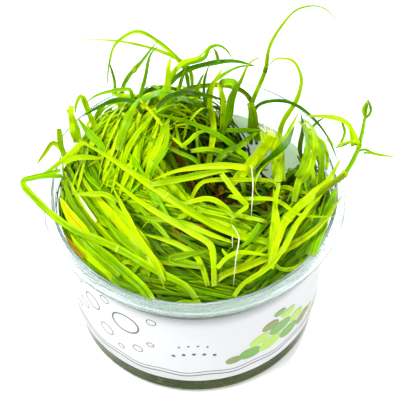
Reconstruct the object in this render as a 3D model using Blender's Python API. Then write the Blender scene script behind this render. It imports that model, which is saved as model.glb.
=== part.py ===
"""Potted creeping rush: a clear culture cup with a wrap label, nutrient gel and a tangle of narrow leaves.

Metres, +Z up. The origin is the middle of the cup's flat bottom, and the front faces -Y. Leaf routes are
written in millimetres, root first, and each leaf is then laid on what is already under it.
"""

import math

import bmesh
import bpy
import numpy as np

MM = 0.001

# Cup, in millimetres
CUP_HEIGHT = 64.0
RIM_RADIUS = 52.0
LIP_RADIUS = 48.0
SKIRT_DROP = 2.4
LEDGE_HEIGHT = 52.7
LEDGE_TOP = 54.8
WALL_TOP_RADIUS = 45.6
BASE_RADIUS = 44.5
CORNER_RADIUS = 2.5
WALL = 0.8
THROAT_DRAFT = 0.5
RIM_ROUND = 0.6
ROUND_STEPS = 40
CORNER_STEPS = 2

# Label and gel, in millimetres
LABEL_LOW, LABEL_HIGH = 10.3, 52.0
LABEL_THICK = 0.3
GEL_TOP = 11.5
GEL_EDGE_WIDTH, GEL_EDGE_RISE = 1.5, 0.5
GAP = 0.3

# Leaves, in millimetres
BLADE_THICK = 0.6
STATION_STEP = 5.0
LEAST_STATIONS, MOST_STATIONS = 4, 16
LAY = np.array([0.0, -0.62, 0.785])
SETTLE_ROUNDS = 40
SETTLED = 0.02
EASE = 0.35
INSIDE_RADIUS = LIP_RADIUS - 2.0
OUTSIDE_RADIUS = RIM_RADIUS + 1.5
NO_GROUND = -1000.0

# How a blade narrows: the share of its width at the root, how soon it is full, how long its tip is and
# the share that is left at the end
ROOT_WIDTH, ROOT_GROWTH, TIP_LENGTH, END_WIDTH = 0.7, 1.2, 0.35, 0.22

# The mat: a low dome, with swells as height, middle x and y, and width along x and y
MOUND_EDGE, MOUND_RISE, MOUND_RADIUS = 58.5, 17.0, 48.0
SWELLS = ((5.0, -14.0, 16.0, 18.0, 13.0), (-16.0, 14.0, 10.0, 13.0, 12.0), (-30.0, 27.0, 27.0, 14.0, 14.0))
MAT_STEPS = 32
MAT_EDGE = 3.0
MAT_SHOULDER = 2.0
MAT_RINGS = (1.0, 0.85, 0.68, 0.50, 0.32, 0.14)
MAT_NEAR = 1.5

TONES = {
    "lime": (0.45, 0.78, 0.02),
    "yellow": (0.62, 0.80, 0.03),
    "green": (0.22, 0.48, 0.02),
    "dark": (0.08, 0.22, 0.01),
    "olive": (0.36, 0.50, 0.02),
    "orange": (0.55, 0.42, 0.04),
}

# Each leaf: name, width, tone, turn of the blade about its own line in degrees, route from root to tip
BACK_LEAVES = (
    ("back_leaf_1", 1.2, "lime", 10, ((0, 34, 72), (-1, 35, 84), (-5, 35, 89), (-13, 36, 93), (-25, 37, 96),
                                      (-38, 38, 96))),
    ("back_leaf_2", 1.3, "lime", -10, ((-1, 31, 72), (-3, 32, 88), (-11, 33, 99), (-18, 33, 104),
                                       (-25, 33, 99), (-28, 33, 90), (-30, 33, 76))),
    ("back_leaf_3", 1.5, "green", 15, ((-26, 35, 70), (-22, 35, 81), (-17, 34, 89), (-11, 34, 98))),
    ("back_leaf_4", 1.2, "green", 0, ((-19, 32, 70), (-16, 32, 84), (-14, 33, 92), (-11, 32, 98))),
    ("back_leaf_5", 1.8, "dark", 20, ((-15, 31, 70), (-9, 32, 78), (-3, 32, 85), (5, 32, 89), (14, 32, 90.5),
                                      (21.5, 32, 88))),
    ("back_leaf_6", 1.5, "green", -15, ((-10, 31, 77), (-4, 32, 88), (4, 32, 92), (6, 33, 96), (9, 33, 97),
                                        (12, 33, 94), (13.5, 33, 90))),
    ("back_leaf_7", 1.8, "lime", 25, ((-11, 29, 70), (-9, 30, 79), (-3, 31, 90), (2, 30, 94), (6, 30, 100))),
    ("back_leaf_8", 1.8, "lime", 0, ((-8, 27, 72), (-8, 30, 84), (-7, 31, 94))),
    ("back_leaf_9", 1.5, "olive", 15, ((21, 35, 52), (21, 35, 66), (17, 34, 74), (9, 32, 79), (-1, 30, 79),
                                       (-9, 29, 73), (-14, 28, 70), (-22, 26, 71))),
    ("back_leaf_10", 2.8, "green", -20, ((9, 22, 64), (12, 23, 73), (13, 24, 80), (14, 25, 87), (10, 26, 86),
                                         (10, 26, 81), (10, 28, 70))),
    ("back_leaf_11", 2.0, "olive", 10, ((5, 16, 56), (7, 22, 66), (6, 26, 80), (9, 29, 87), (11, 30, 90))),
    ("back_leaf_12", 1.2, "green", 0, ((4, 30, 70), (7, 30, 82), (13, 32, 86), (17, 33, 87), (22, 34, 86))),
    ("back_leaf_13", 1.6, "lime", 10, ((10, 28, 65), (10.4, 28, 74), (9.4, 28, 81), (8.3, 28, 84))),
    ("back_leaf_14", 1.2, "lime", -10, ((11, 31, 61), (13, 31, 68), (15, 31, 77), (17, 32, 82), (19, 33, 87),
                                        (21, 34, 88.5), (25, 35, 89))),
    ("tall_arch", 1.4, "lime", 10, ((20, 37, 50), (21, 36, 65), (25, 35, 82), (26, 35, 93), (30, 34, 105),
                                    (35, 34, 112), (42, 34, 113), (50, 33, 105))),
    ("right_arch", 1.7, "lime", -15, ((30, 22, 48), (31, 24, 67), (36, 27, 77), (37, 29, 85), (34, 31, 91),
                                      (29, 32, 91), (25, 34, 84))),
    ("dark_arch", 1.1, "dark", 0, ((23, 36, 52), (22, 34, 64), (26, 32, 70), (33, 27, 75), (40, 20, 76),
                                   (46, 13, 72), (49, 7, 67))),
)

LEFT_LEAVES = (
    ("cut_stub_1", 1.8, "lime", 0, ((-43, 11, 62), (-45, 12, 70), (-45, 12, 80))),
    ("cut_stub_2", 1.9, "lime", 10, ((-39, 17, 64), (-40, 18, 74), (-42, 20, 81))),
    ("left_leaf_1", 1.8, "lime", 15, ((-32, 21, 66), (-35, 23, 72), (-38, 25, 82), (-40, 25, 78),
                                      (-41, 26, 72))),
    ("left_leaf_2", 1.3, "green", 0, ((-20, 31, 72), (-22, 30, 79), (-28, 27, 82), (-33, 25, 82),
                                      (-37, 22, 81))),
    ("left_leaf_3", 1.5, "dark", 10, ((-17, 27, 71), (-20, 28, 74), (-27, 26, 78), (-33, 23, 78),
                                      (-38, 20, 77))),
    ("left_leaf_4", 2.6, "green", 25, ((-29, 6, 74), (-32, 10, 75), (-36, 14, 77), (-39, 17, 80))),
    ("left_leaf_5", 1.7, "lime", -10, ((-34, 12, 74), (-37, 9, 76), (-44, 5, 72), (-48, 4, 69),
                                       (-53, 2, 67))),
    ("front_leaf_1", 1.7, "green", 10, ((-30, -26, 68), (-36, -17, 67), (-41, -8, 66), (-44, 2, 66),
                                        (-45, 10, 66))),
    ("front_leaf_2", 3.0, "yellow", -12, ((-9, -40, 66), (-14, -34, 69), (-21, -26, 71), (-28, -16, 71),
                                          (-35, -6, 71))),
    ("front_leaf_3", 2.0, "lime", 10, ((-14, -30, 71), (-21, -22, 72), (-29, -11, 72))),
    ("front_leaf_4", 2.0, "green", 0, ((-15, -34, 69), (-23, -27, 70), (-30, -17, 70))),
    ("front_leaf_5", 3.2, "orange", 8, ((-34, -22, 67), (-40, -15, 66), (-45, -6, 66))),
    ("front_leaf_6", 2.4, "lime", 0, ((-26, -36, 62), (-32, -30, 62), (-38, -24, 62), (-41, -19, 63))),
    ("front_leaf_7", 3.0, "lime", -8, ((-14, -43, 63), (-20, -39, 65), (-28, -31, 66), (-36, -22, 66))),
    ("front_leaf_8", 2.2, "lime", 12, ((1, -45, 63), (-4, -42, 66), (-12, -38, 68), (-21, -32, 69),
                                       (-31, -25, 68), (-41, -18, 66), (-51, -9, 66), (-59, 1, 66),
                                       (-54, 1, 68), (-45, 3, 69))),
    ("front_leaf_9", 1.8, "yellow", 10, ((-10, -38, 68), (-18, -28, 73), (-22, -20, 75), (-27, -8, 74))),
    ("front_leaf_10", 1.6, "lime", 0, ((-25, -11, 73), (-33, -9, 71), (-41, -7, 69))),
)

RIGHT_LEAVES = (
    ("right_leaf_1", 4.0, "green", 10, ((37.5, -30, 66), (39.7, -25, 66.5), (43.5, -15, 66.5),
                                         (47.5, -5, 66))),
    ("right_leaf_2", 2.3, "olive", -8, ((5, -40, 66), (19, -35, 67), (33, -27, 67), (42, -18, 66),
                                        (49, -8, 67))),
    ("right_leaf_3", 2.2, "lime", 10, ((33, -9, 70), (37, 2, 72), (40, 18, 69), (37, 28, 64))),
    ("right_leaf_4", 1.8, "green", -10, ((43, 0, 66), (43, 8, 71), (39, 18, 68))),
    ("right_leaf_5", 1.9, "lime", 0, ((24, -31, 69), (26, -19, 73), (26, -11, 75))),
    ("right_leaf_6", 2.5, "yellow", 12, ((24, -33, 67), (28, -23, 70), (39, -10, 70), (45, -3, 69),
                                         (50, 7, 68))),
    ("right_leaf_7", 1.5, "lime", -10, ((12, -43, 64), (23, -36, 67), (33, -21, 69), (43, -5, 69))),
    ("seedling_stem", 1.8, "green", 0, ((40, -5, 64), (45, -4, 68), (50, -2, 71), (54, 2, 76), (56, 7, 80),
                                        (58, 15, 87))),
    ("seedling_leaf", 1.5, "lime", 10, ((53.2, 5, 79), (52, 9, 82.4), (50, 11, 83), (46, 13, 82.6),
                                        (41, 15, 81), (37.6, 17, 79))),
    ("seedling_side_leaf", 0.9, "lime", 0, ((57, 4, 76.6), (60.5, 4, 74), (65.3, 4, 72.6), (68, 4, 72.3))),
)

MIDDLE_LEAVES = (
    ("middle_leaf_1", 1.3, "green", 0, ((5, -4, 78), (-2, -1, 80), (-11, 4, 81), (-20, 11, 79))),
    ("middle_leaf_2", 2.7, "green", 15, ((-25, 9, 74), (-21, 19, 76), (-18, 28, 75))),
    ("middle_leaf_3", 1.8, "lime", -10, ((-24, 0, 76), (-19, 9, 79), (-13, 16, 81))),
    ("middle_leaf_4", 1.7, "green", 10, ((21, 11, 60), (10, 12, 74), (0, 15, 78), (-14, 18, 80))),
    ("middle_leaf_5", 2.0, "lime", 0, ((-16, -8, 78), (-12, 1, 82), (-8, 14, 82))),
    ("middle_leaf_6", 3.4, "yellow", 20, ((28, 24, 56), (25, 12, 70), (18, 0, 73), (11, -9, 73))),
    ("middle_leaf_7", 2.0, "yellow", -10, ((20, 7, 62), (10, -2, 76), (-5, -7, 80), (-14, -11, 80))),
    ("middle_leaf_8", 1.3, "olive", 10, ((-2, -16, 79), (4, -11, 79), (16, -8, 76), (25, -7, 74),
                                         (27, -9, 74), (25, -15, 74))),
    ("middle_leaf_9", 1.2, "lime", 0, ((11, -10, 72), (14, -14, 74), (26, -15, 74), (34, -18, 70),
                                       (46, -17, 67))),
    ("long_leaf_1", 1.7, "lime", 10, ((4, -40, 67), (1, -35.4, 70.4), (-0.2, -33.8, 71), (-2, -32.6, 71.2),
                                      (-7, -30, 72), (-18, -26, 72))),
    ("long_leaf_2", 2.0, "lime", -10, ((6, -40, 66), (5.6, -33.4, 71), (5, -31.6, 72.2), (3.2, -30, 72.8),
                                       (-7, -24, 75), (-18, -16, 76), (-27, -6, 75))),
    ("long_leaf_3", 2.2, "lime", 10, ((26, -27, 67), (15, -28, 72), (7, -26, 75), (-5, -20, 79),
                                      (-16, -11, 80), (-28, 1, 78), (-39, 14, 72))),
)

CUT_ENDS = ("cut_stub_1", "cut_stub_2", "seedling_stem")

# Coarser leaves of the mat: how many, how far they spread sideways, how high they bow, and a route on the mat
MAT_FLOWS = (
    (8, 11.0, 1.6, ((-38, 12), (-24, -12), (-2, -38))),
    (6, 7.0, 1.6, ((40, 10), (34, -14), (12, -38))),
    (4, 6.0, 1.6, ((-30, -6), (-4, -14), (24, -16))),
    (4, 5.0, 2.4, ((-32, 22), (-16, 30), (4, 36))),
    (4, 5.0, 6.0, ((-6, 30), (-14, 16), (-26, 2))),
    (3, 4.0, 3.0, ((38, 18), (34, 4), (26, -10))),
)
MAT_SEED = 11
MAT_BLADE_WIDTH = 2.4
MAT_BLADE_THICK = 1.2
MAT_STATION_STEP = 9.0
MAT_ROUTE_POINTS = 7
MAT_REACH = 43.0
MAT_STRAY = 0.15
MAT_TURN = 15.0
LOWEST_BOW = 0.7
ROOT_SINK = 1.6


def clear_scene():
    """Remove every object that the file already holds."""
    for obj in list(bpy.data.objects):
        bpy.data.objects.remove(obj, do_unlink=True)


def finish(name, colour, roughness, alpha=1.0):
    """Make a Principled material for one piece."""
    material = bpy.data.materials.new(name)
    material.use_nodes = True
    shader = material.node_tree.nodes["Principled BSDF"]
    shader.inputs["Base Color"].default_value = (*colour, 1.0)
    shader.inputs["Roughness"].default_value = roughness
    shader.inputs["Metallic"].default_value = 0.0
    shader.inputs["Alpha"].default_value = alpha
    return material


def make_object(name, bm, material):
    """Turn a bmesh in millimetres into a named object in metres with outward faces."""
    bmesh.ops.recalc_face_normals(bm, faces=bm.faces)
    bmesh.ops.scale(bm, vec=(MM, MM, MM), verts=bm.verts)
    mesh = bpy.data.meshes.new(name)
    bm.to_mesh(mesh)
    bm.free()
    mesh.shade_smooth()
    mesh.set_sharp_from_angle(angle=math.radians(35))
    obj = bpy.data.objects.new(name, mesh)
    obj.data.materials.append(material)
    bpy.context.scene.collection.objects.link(obj)
    return obj


def arc(centre, radius, start, end, steps):
    """Points of an arc in the profile plane, angles in degrees."""
    angles = np.radians(np.linspace(start, end, steps + 1))
    return [(centre[0] + radius * math.cos(a), centre[1] + radius * math.sin(a)) for a in angles]


def turned(name, profile, material):
    """Spin a closed profile of (radius, height) points about Z."""
    bm = bmesh.new()
    verts = [bm.verts.new((radius, 0.0, height)) for radius, height in profile]
    edges = [bm.edges.new((a, b)) for a, b in zip(verts, verts[1:])]
    if profile[0][0] > 0.0:
        edges.append(bm.edges.new((verts[-1], verts[0])))
    bmesh.ops.spin(bm, geom=verts + edges, cent=(0, 0, 0), axis=(0, 0, 1), angle=2 * math.pi,
                   steps=ROUND_STEPS, use_duplicate=False)
    bmesh.ops.remove_doubles(bm, verts=bm.verts, dist=0.001)
    return make_object(name, bm, material)


def wall_radius(height):
    """Outer radius of the tapered wall between the corner and the ledge."""
    share = (height - CORNER_RADIUS) / (LEDGE_HEIGHT - CORNER_RADIUS)
    return BASE_RADIUS + (WALL_TOP_RADIUS - BASE_RADIUS) * share


def cup():
    """The clear cup: flat bottom, tapered wall, ledge, lip and turned-down rim."""
    inner_corner = CORNER_RADIUS - WALL
    corner = (BASE_RADIUS - CORNER_RADIUS, CORNER_RADIUS)
    outer = [(0.0, 0.0)] + arc(corner, CORNER_RADIUS, -90, 0, CORNER_STEPS)
    outer += [(WALL_TOP_RADIUS, LEDGE_HEIGHT), (LIP_RADIUS, LEDGE_TOP)]
    outer += [(LIP_RADIUS + THROAT_DRAFT, CUP_HEIGHT - WALL)]
    rim = [(RIM_RADIUS - WALL, CUP_HEIGHT - WALL), (RIM_RADIUS - WALL, CUP_HEIGHT - SKIRT_DROP),
           (RIM_RADIUS, CUP_HEIGHT - SKIRT_DROP), (RIM_RADIUS, CUP_HEIGHT - RIM_ROUND),
           (RIM_RADIUS - RIM_ROUND, CUP_HEIGHT)]
    inner = [(LIP_RADIUS, CUP_HEIGHT), (LIP_RADIUS - WALL / 2, CUP_HEIGHT - WALL),
             (LIP_RADIUS - WALL, LEDGE_TOP + WALL / 2), (WALL_TOP_RADIUS - WALL, LEDGE_HEIGHT + WALL / 2)]
    inner += list(reversed(arc(corner, inner_corner, -90, 0, CORNER_STEPS))) + [(0.0, WALL)]
    return turned("cup", outer + rim + inner, finish("clear_plastic", (0.86, 0.94, 0.94), 0.08, 0.35))


def label():
    """The thin wrap, a sleeve that follows the taper of the wall."""
    inside = [(wall_radius(z) + GAP, z) for z in (LABEL_HIGH, LABEL_LOW)]
    outside = [(radius + LABEL_THICK, z) for radius, z in reversed(inside)]
    return turned("label", inside + outside, finish("label_white", (0.86, 0.87, 0.88), 0.45))


def gel():
    """The disc of nutrient gel, with the corner that the cup gives it."""
    corner = (BASE_RADIUS - CORNER_RADIUS, CORNER_RADIUS)
    side = wall_radius(GEL_TOP) - WALL - GAP
    low = WALL + GAP
    profile = [(0.0, low)] + arc(corner, CORNER_RADIUS - low, -90, 0, CORNER_STEPS)
    flat = GEL_TOP - GEL_EDGE_RISE
    profile += [(side, GEL_TOP), (side - GEL_EDGE_WIDTH, flat), (0.0, flat)]
    return turned("gel", profile, finish("nutrient_gel", (0.20, 0.24, 0.06), 0.25))


def mat_height(x, y):
    """Height of the leaf mat: a low dome, its thicker part at the left and the two hollows at the right."""
    height = MOUND_EDGE + MOUND_RISE * (1.0 - np.minimum(np.hypot(x, y) / MOUND_RADIUS, 1.0) ** 2)
    for rise, cx, cy, wide, deep in SWELLS:
        height = height + rise * np.exp(-(((x - cx) / wide) ** 2 + ((y - cy) / deep) ** 2))
    return height


def inner_radius(height):
    """Room inside the cup at a height, clear of the wall."""
    low = wall_radius(np.minimum(height, LEDGE_HEIGHT)) - WALL - 2 * GAP
    high = LIP_RADIUS - WALL - 2 * GAP
    start = LEDGE_TOP + 2 * GAP
    share = np.clip((height - start) / (2 * WALL), 0.0, 1.0)
    return low + (high - low) * share


def mat_body():
    """The closed body of the mat: side rings up the wall, then rings in over the dome."""
    angles = np.linspace(0.0, 2 * math.pi, MAT_STEPS, endpoint=False)
    circle = np.stack([np.cos(angles), np.sin(angles)], axis=1)
    edge_height = mat_height(*(circle * (LIP_RADIUS - MAT_EDGE)).T)
    edge_radius = inner_radius(edge_height)
    rings = []
    for height in (np.full(MAT_STEPS, GEL_TOP + GAP), np.minimum(edge_height - MAT_SHOULDER, LEDGE_HEIGHT)):
        rings.append(np.column_stack([circle * inner_radius(height)[:, None], height]))
    for share in MAT_RINGS:
        flat = circle * (edge_radius * share)[:, None]
        rings.append(np.column_stack([flat, mat_height(*flat.T)]))
    bm = bmesh.new()
    loops = [[bm.verts.new(point) for point in ring] for ring in rings]
    for low, high in zip(loops, loops[1:]):
        for i in range(MAT_STEPS):
            j = (i + 1) % MAT_STEPS
            bm.faces.new((low[i], low[j], high[j], high[i]))
    bm.faces.new(list(reversed(loops[0])))
    bm.faces.new(loops[-1])
    bmesh.ops.triangulate(bm, faces=[face for face in bm.faces if len(face.verts) > 4])
    return make_object("leaf_mat", bm, finish("leaf_mat", TONES["green"], 0.5))


def spline(points, share):
    """Read a smooth centripetal curve through the points at shares of its length, 0 to 1."""
    points = np.asarray(points, dtype=float)
    chord = np.maximum(np.linalg.norm(np.diff(points, axis=0), axis=1), 1e-6)
    knots = np.concatenate([[0.0], np.cumsum(np.sqrt(chord))])
    slope = np.gradient(points, knots, axis=0)
    fine = np.linspace(0.0, knots[-1], 40 * len(points))
    curve = hermite(points, knots, slope, fine)
    run = np.concatenate([[0.0], np.cumsum(np.linalg.norm(np.diff(curve, axis=0), axis=1))])
    where = np.interp(np.asarray(share) * run[-1], run, fine)
    return hermite(points, knots, slope, where)


def hermite(points, knots, slope, where):
    """Cubic Hermite interpolation between knots."""
    i = np.clip(np.searchsorted(knots, where, side="right") - 1, 0, len(knots) - 2)
    span = (knots[i + 1] - knots[i])[:, None]
    t = (where - knots[i])[:, None] / span
    return ((2 * t**3 - 3 * t**2 + 1) * points[i] + (t**3 - 2 * t**2 + t) * span * slope[i]
            + (3 * t**2 - 2 * t**3) * points[i + 1] + (t**3 - t**2) * span * slope[i + 1])


class Blade:
    """One leaf: its stations, its width along them and the directions of its section."""

    def __init__(self, name, width, tone, turn, route, thick=BLADE_THICK, step=STATION_STEP):
        self.name, self.tone, self.thick = name, tone, thick
        self.turn = math.radians(turn)
        route = np.asarray(route, dtype=float)
        length = np.linalg.norm(np.diff(route, axis=0), axis=1).sum()
        stretches = int(np.clip(round(length / step), LEAST_STATIONS, MOST_STATIONS))
        self.share = np.linspace(0.0, 1.0, stretches + 1)
        self.points = spline(route, self.share)
        taper = np.minimum(ROOT_WIDTH + ROOT_GROWTH * self.share, 1.0)
        if name not in CUT_ENDS:
            taper = taper * np.clip((1.0 - self.share) / TIP_LENGTH, 0.0, 1.0) ** 0.5
        self.width = width * np.maximum(taper, END_WIDTH)
        self.aim()

    def aim(self):
        """Point each section across the leaf, mostly facing the side that the leaves lie towards."""
        along = np.gradient(self.points, axis=0)
        self.along = along / np.linalg.norm(along, axis=1)[:, None]
        across = np.cross(self.along, LAY)
        across[1:-1] = (across[:-2] + 2 * across[1:-1] + across[2:]) / 4
        across -= (across * self.along).sum(axis=1)[:, None] * self.along
        across /= np.maximum(np.linalg.norm(across, axis=1), 1e-6)[:, None]
        through = np.cross(across, self.along)
        self.across = across * math.cos(self.turn) + through * math.sin(self.turn)
        self.through = np.cross(self.across, self.along)

    def samples(self):
        """Points about 1 mm apart on the straight runs between stations, with what the blade covers there."""
        count = len(self.points)
        step = np.linalg.norm(np.diff(self.points, axis=0), axis=1).mean()
        where = np.linspace(0, count - 1, int((count - 1) * max(2, round(step))) + 1)
        spread = np.maximum(1.0 - np.abs(where[:, None] - np.arange(count)[None, :]), 0.0)
        half = self.width / 2
        rise = np.hypot(half * (self.across @ LAY), self.thick / 2 * (self.through @ LAY))
        tall = np.hypot(half * self.across[:, 2], self.thick / 2)
        return spread, spread @ self.points, spread @ half, spread @ rise, spread @ tall


def ground(points, tall):
    """Lowest height that a blade's middle may have: over the mat inside the cup, over the rim outside."""
    radius = np.hypot(points[:, 0], points[:, 1])
    steps = (-MAT_NEAR, 0.0, MAT_NEAR)
    around = [mat_height(points[:, 0] + dx, points[:, 1] + dy) for dx in steps for dy in steps]
    over_mat = np.max(around, axis=0) + tall + GAP
    over_rim = CUP_HEIGHT + GAP + tall
    height = np.where(radius < INSIDE_RADIUS, over_mat, over_rim)
    return np.where(radius > OUTSIDE_RADIUS, NO_GROUND, height)


def settle(blades, fixed):
    """Lay each blade in turn on those before it.

    Where a blade crosses an earlier one too closely, its stations move along LAY until it is clear. The
    earlier blades stay, so the order of the list is the order in which the leaves lie on each other.
    """
    side = np.cross(LAY, (1.0, 0.0, 0.0))
    laid = [blade.samples()[1:4] for blade in fixed]
    for blade in blades:
        for _ in range(SETTLE_ROUNDS):
            spread, points, half, rise, tall = blade.samples()
            need = (ground(points, tall) - points[:, 2]) / LAY[2]
            for other, other_half, other_rise in laid:
                apart = points[:, None, :] - other[None, :, :]
                flat = np.hypot(apart[..., 0], apart @ side)
                depth = apart @ LAY
                clear = rise[:, None] + other_rise[None, :] + 2 * GAP
                near = (flat < half[:, None] + other_half[None, :] + 2 * GAP) & (np.abs(depth) < clear)
                need = np.maximum(need, np.where(near, clear - depth, 0.0).max(axis=1))
            if need.max() < SETTLED:
                break
            lift = np.where(spread > 0, need[:, None], 0.0).max(axis=0).clip(min=0.0)
            eased = np.maximum(lift[:-1], lift[1:]) * EASE
            lift[1:] = np.maximum(lift[1:], eased)
            lift[:-1] = np.maximum(lift[:-1], eased)
            blade.points = blade.points + lift[:, None] * LAY
            blade.aim()
        laid.append(blade.samples()[1:4])
    return blades


def root_on_mat(blade):
    """Bring the root down to the mat where it stands inside the cup."""
    x, y, height = blade.points[0]
    if math.hypot(x, y) < INSIDE_RADIUS:
        blade.points[0, 2] = min(height, mat_height(x, y) + GAP + blade.thick)
        blade.aim()
    return blade


def blade_mesh(blade):
    """A closed blade of diamond section, its ends drawn to a point or cut off."""
    bm = bmesh.new()
    half = blade.width[:, None] / 2
    corners = (blade.points + blade.across * half, blade.points + blade.through * blade.thick / 2,
               blade.points - blade.across * half, blade.points - blade.through * blade.thick / 2)
    rings = [[bm.verts.new(corner[i]) for corner in corners] for i in range(len(blade.points))]
    for low, high in zip(rings, rings[1:]):
        for i in range(4):
            j = (i + 1) % 4
            bm.faces.new((low[i], low[j], high[j], high[i]))
    bm.faces.new(list(reversed(rings[0])))
    bm.faces.new(rings[-1])
    return bm


def mat_blades():
    """The coarser leaves of the mat: each flow is a route on the mat, repeated side by side."""
    chance = np.random.default_rng(MAT_SEED)
    share = np.linspace(0.0, 1.0, MAT_ROUTE_POINTS)
    arch = np.sin(math.pi * share)
    blades = []
    for count, spread, bow, route in MAT_FLOWS:
        middle = spline(route, share)
        run = np.gradient(middle, axis=0)
        side = np.column_stack([-run[:, 1], run[:, 0]]) / np.linalg.norm(run, axis=1)[:, None]
        for place in np.linspace(-1.0, 1.0, count):
            flat = middle + side * spread * (place + chance.uniform(-MAT_STRAY, MAT_STRAY))
            reach = np.hypot(*flat.T)
            flat = flat * np.minimum(1.0, MAT_REACH / reach)[:, None]
            rise = (bow + ROOT_SINK) * chance.uniform(LOWEST_BOW, 1.0) * arch - ROOT_SINK
            route_3d = np.column_stack([flat, mat_height(*flat.T) + rise])
            name = "mat_leaf_%d" % (len(blades) + 1)
            blades.append(Blade(name, MAT_BLADE_WIDTH, "green", chance.uniform(-MAT_TURN, MAT_TURN), route_3d,
                                MAT_BLADE_THICK, MAT_STATION_STEP))
    return blades


def fuse(body, blades):
    """Join the mat's own leaves to it, as one solid."""
    guides = bpy.data.collections.new("mat_leaves")
    bpy.context.scene.collection.children.link(guides)
    for blade in blades:
        guide = make_object(blade.name, blade_mesh(blade), body.data.materials[0])
        bpy.context.scene.collection.objects.unlink(guide)
        guides.objects.link(guide)
        guide.hide_render = True
        guide.display_type = "WIRE"
    union = body.modifiers.new("mat leaves", "BOOLEAN")
    union.operation = "UNION"
    union.solver = "EXACT"
    union.operand_type = "COLLECTION"
    union.collection = guides


def leaves(fixed):
    """Every long leaf as its own object, laid in the order in which they cover each other."""
    blades = [root_on_mat(Blade(*leaf)) for group in (BACK_LEAVES, LEFT_LEAVES, RIGHT_LEAVES, MIDDLE_LEAVES)
              for leaf in group]
    for blade in settle(blades, fixed):
        make_object(blade.name, blade_mesh(blade), finish(blade.name, TONES[blade.tone], 0.4))


def main():
    """Build the whole part."""
    clear_scene()
    cup()
    label()
    gel()
    own = mat_blades()
    fuse(mat_body(), own)
    leaves(own)


main()
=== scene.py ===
"""Looks of the potted creeping rush: a clear culture cup, its wrap label, nutrient gel and living leaves.

Places are worked out in millimetres, in the frame's own axes: +Z up, the front at -Y and the origin at the
middle of the cup's flat bottom. Meshes are written in metres.
"""

import logging
import math
from dataclasses import dataclass, field
from enum import Enum
from typing import Sequence

import bpy
import numpy as np
from mathutils import Matrix, Vector
from numpy.typing import NDArray


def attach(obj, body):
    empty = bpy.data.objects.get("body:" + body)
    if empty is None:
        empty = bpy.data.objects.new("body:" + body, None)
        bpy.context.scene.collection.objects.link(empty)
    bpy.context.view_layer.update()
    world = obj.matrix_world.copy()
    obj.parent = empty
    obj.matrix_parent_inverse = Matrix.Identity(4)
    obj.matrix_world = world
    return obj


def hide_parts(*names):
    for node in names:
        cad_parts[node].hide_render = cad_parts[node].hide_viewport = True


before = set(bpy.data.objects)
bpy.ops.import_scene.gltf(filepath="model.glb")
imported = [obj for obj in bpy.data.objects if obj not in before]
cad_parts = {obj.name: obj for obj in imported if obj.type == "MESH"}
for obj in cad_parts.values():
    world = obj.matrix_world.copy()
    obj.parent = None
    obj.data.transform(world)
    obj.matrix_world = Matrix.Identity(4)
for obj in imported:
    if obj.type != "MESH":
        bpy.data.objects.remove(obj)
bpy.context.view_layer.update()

Array = NDArray[np.float64]
Pair = tuple[float, float]
Triple = tuple[float, float, float]
Colour = Triple
Route = tuple[tuple[float, ...], ...]
Row = tuple[str, float, str, float, Route]
Material = bpy.types.Material
Socket = bpy.types.NodeSocket

LOG = logging.getLogger("potted_creeping_rush")
MM = 0.001
BODY = "root"
LAY = np.array([0.0, -0.62, 0.785])
GAP = 0.3
# Millimetres of surface to one unit of UV
UV_LENGTH = 10.0


class Tone(Enum):
    """The colours of this plant's leaves, pale roots and dead bits; dark also serves as painted shade."""

    LIME = "lime"
    YELLOW = "yellow"
    GREEN = "green"
    DARK = "dark"
    OLIVE = "olive"
    ORANGE = "orange"
    PALE = "pale"
    BROWN = "brown"


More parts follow.
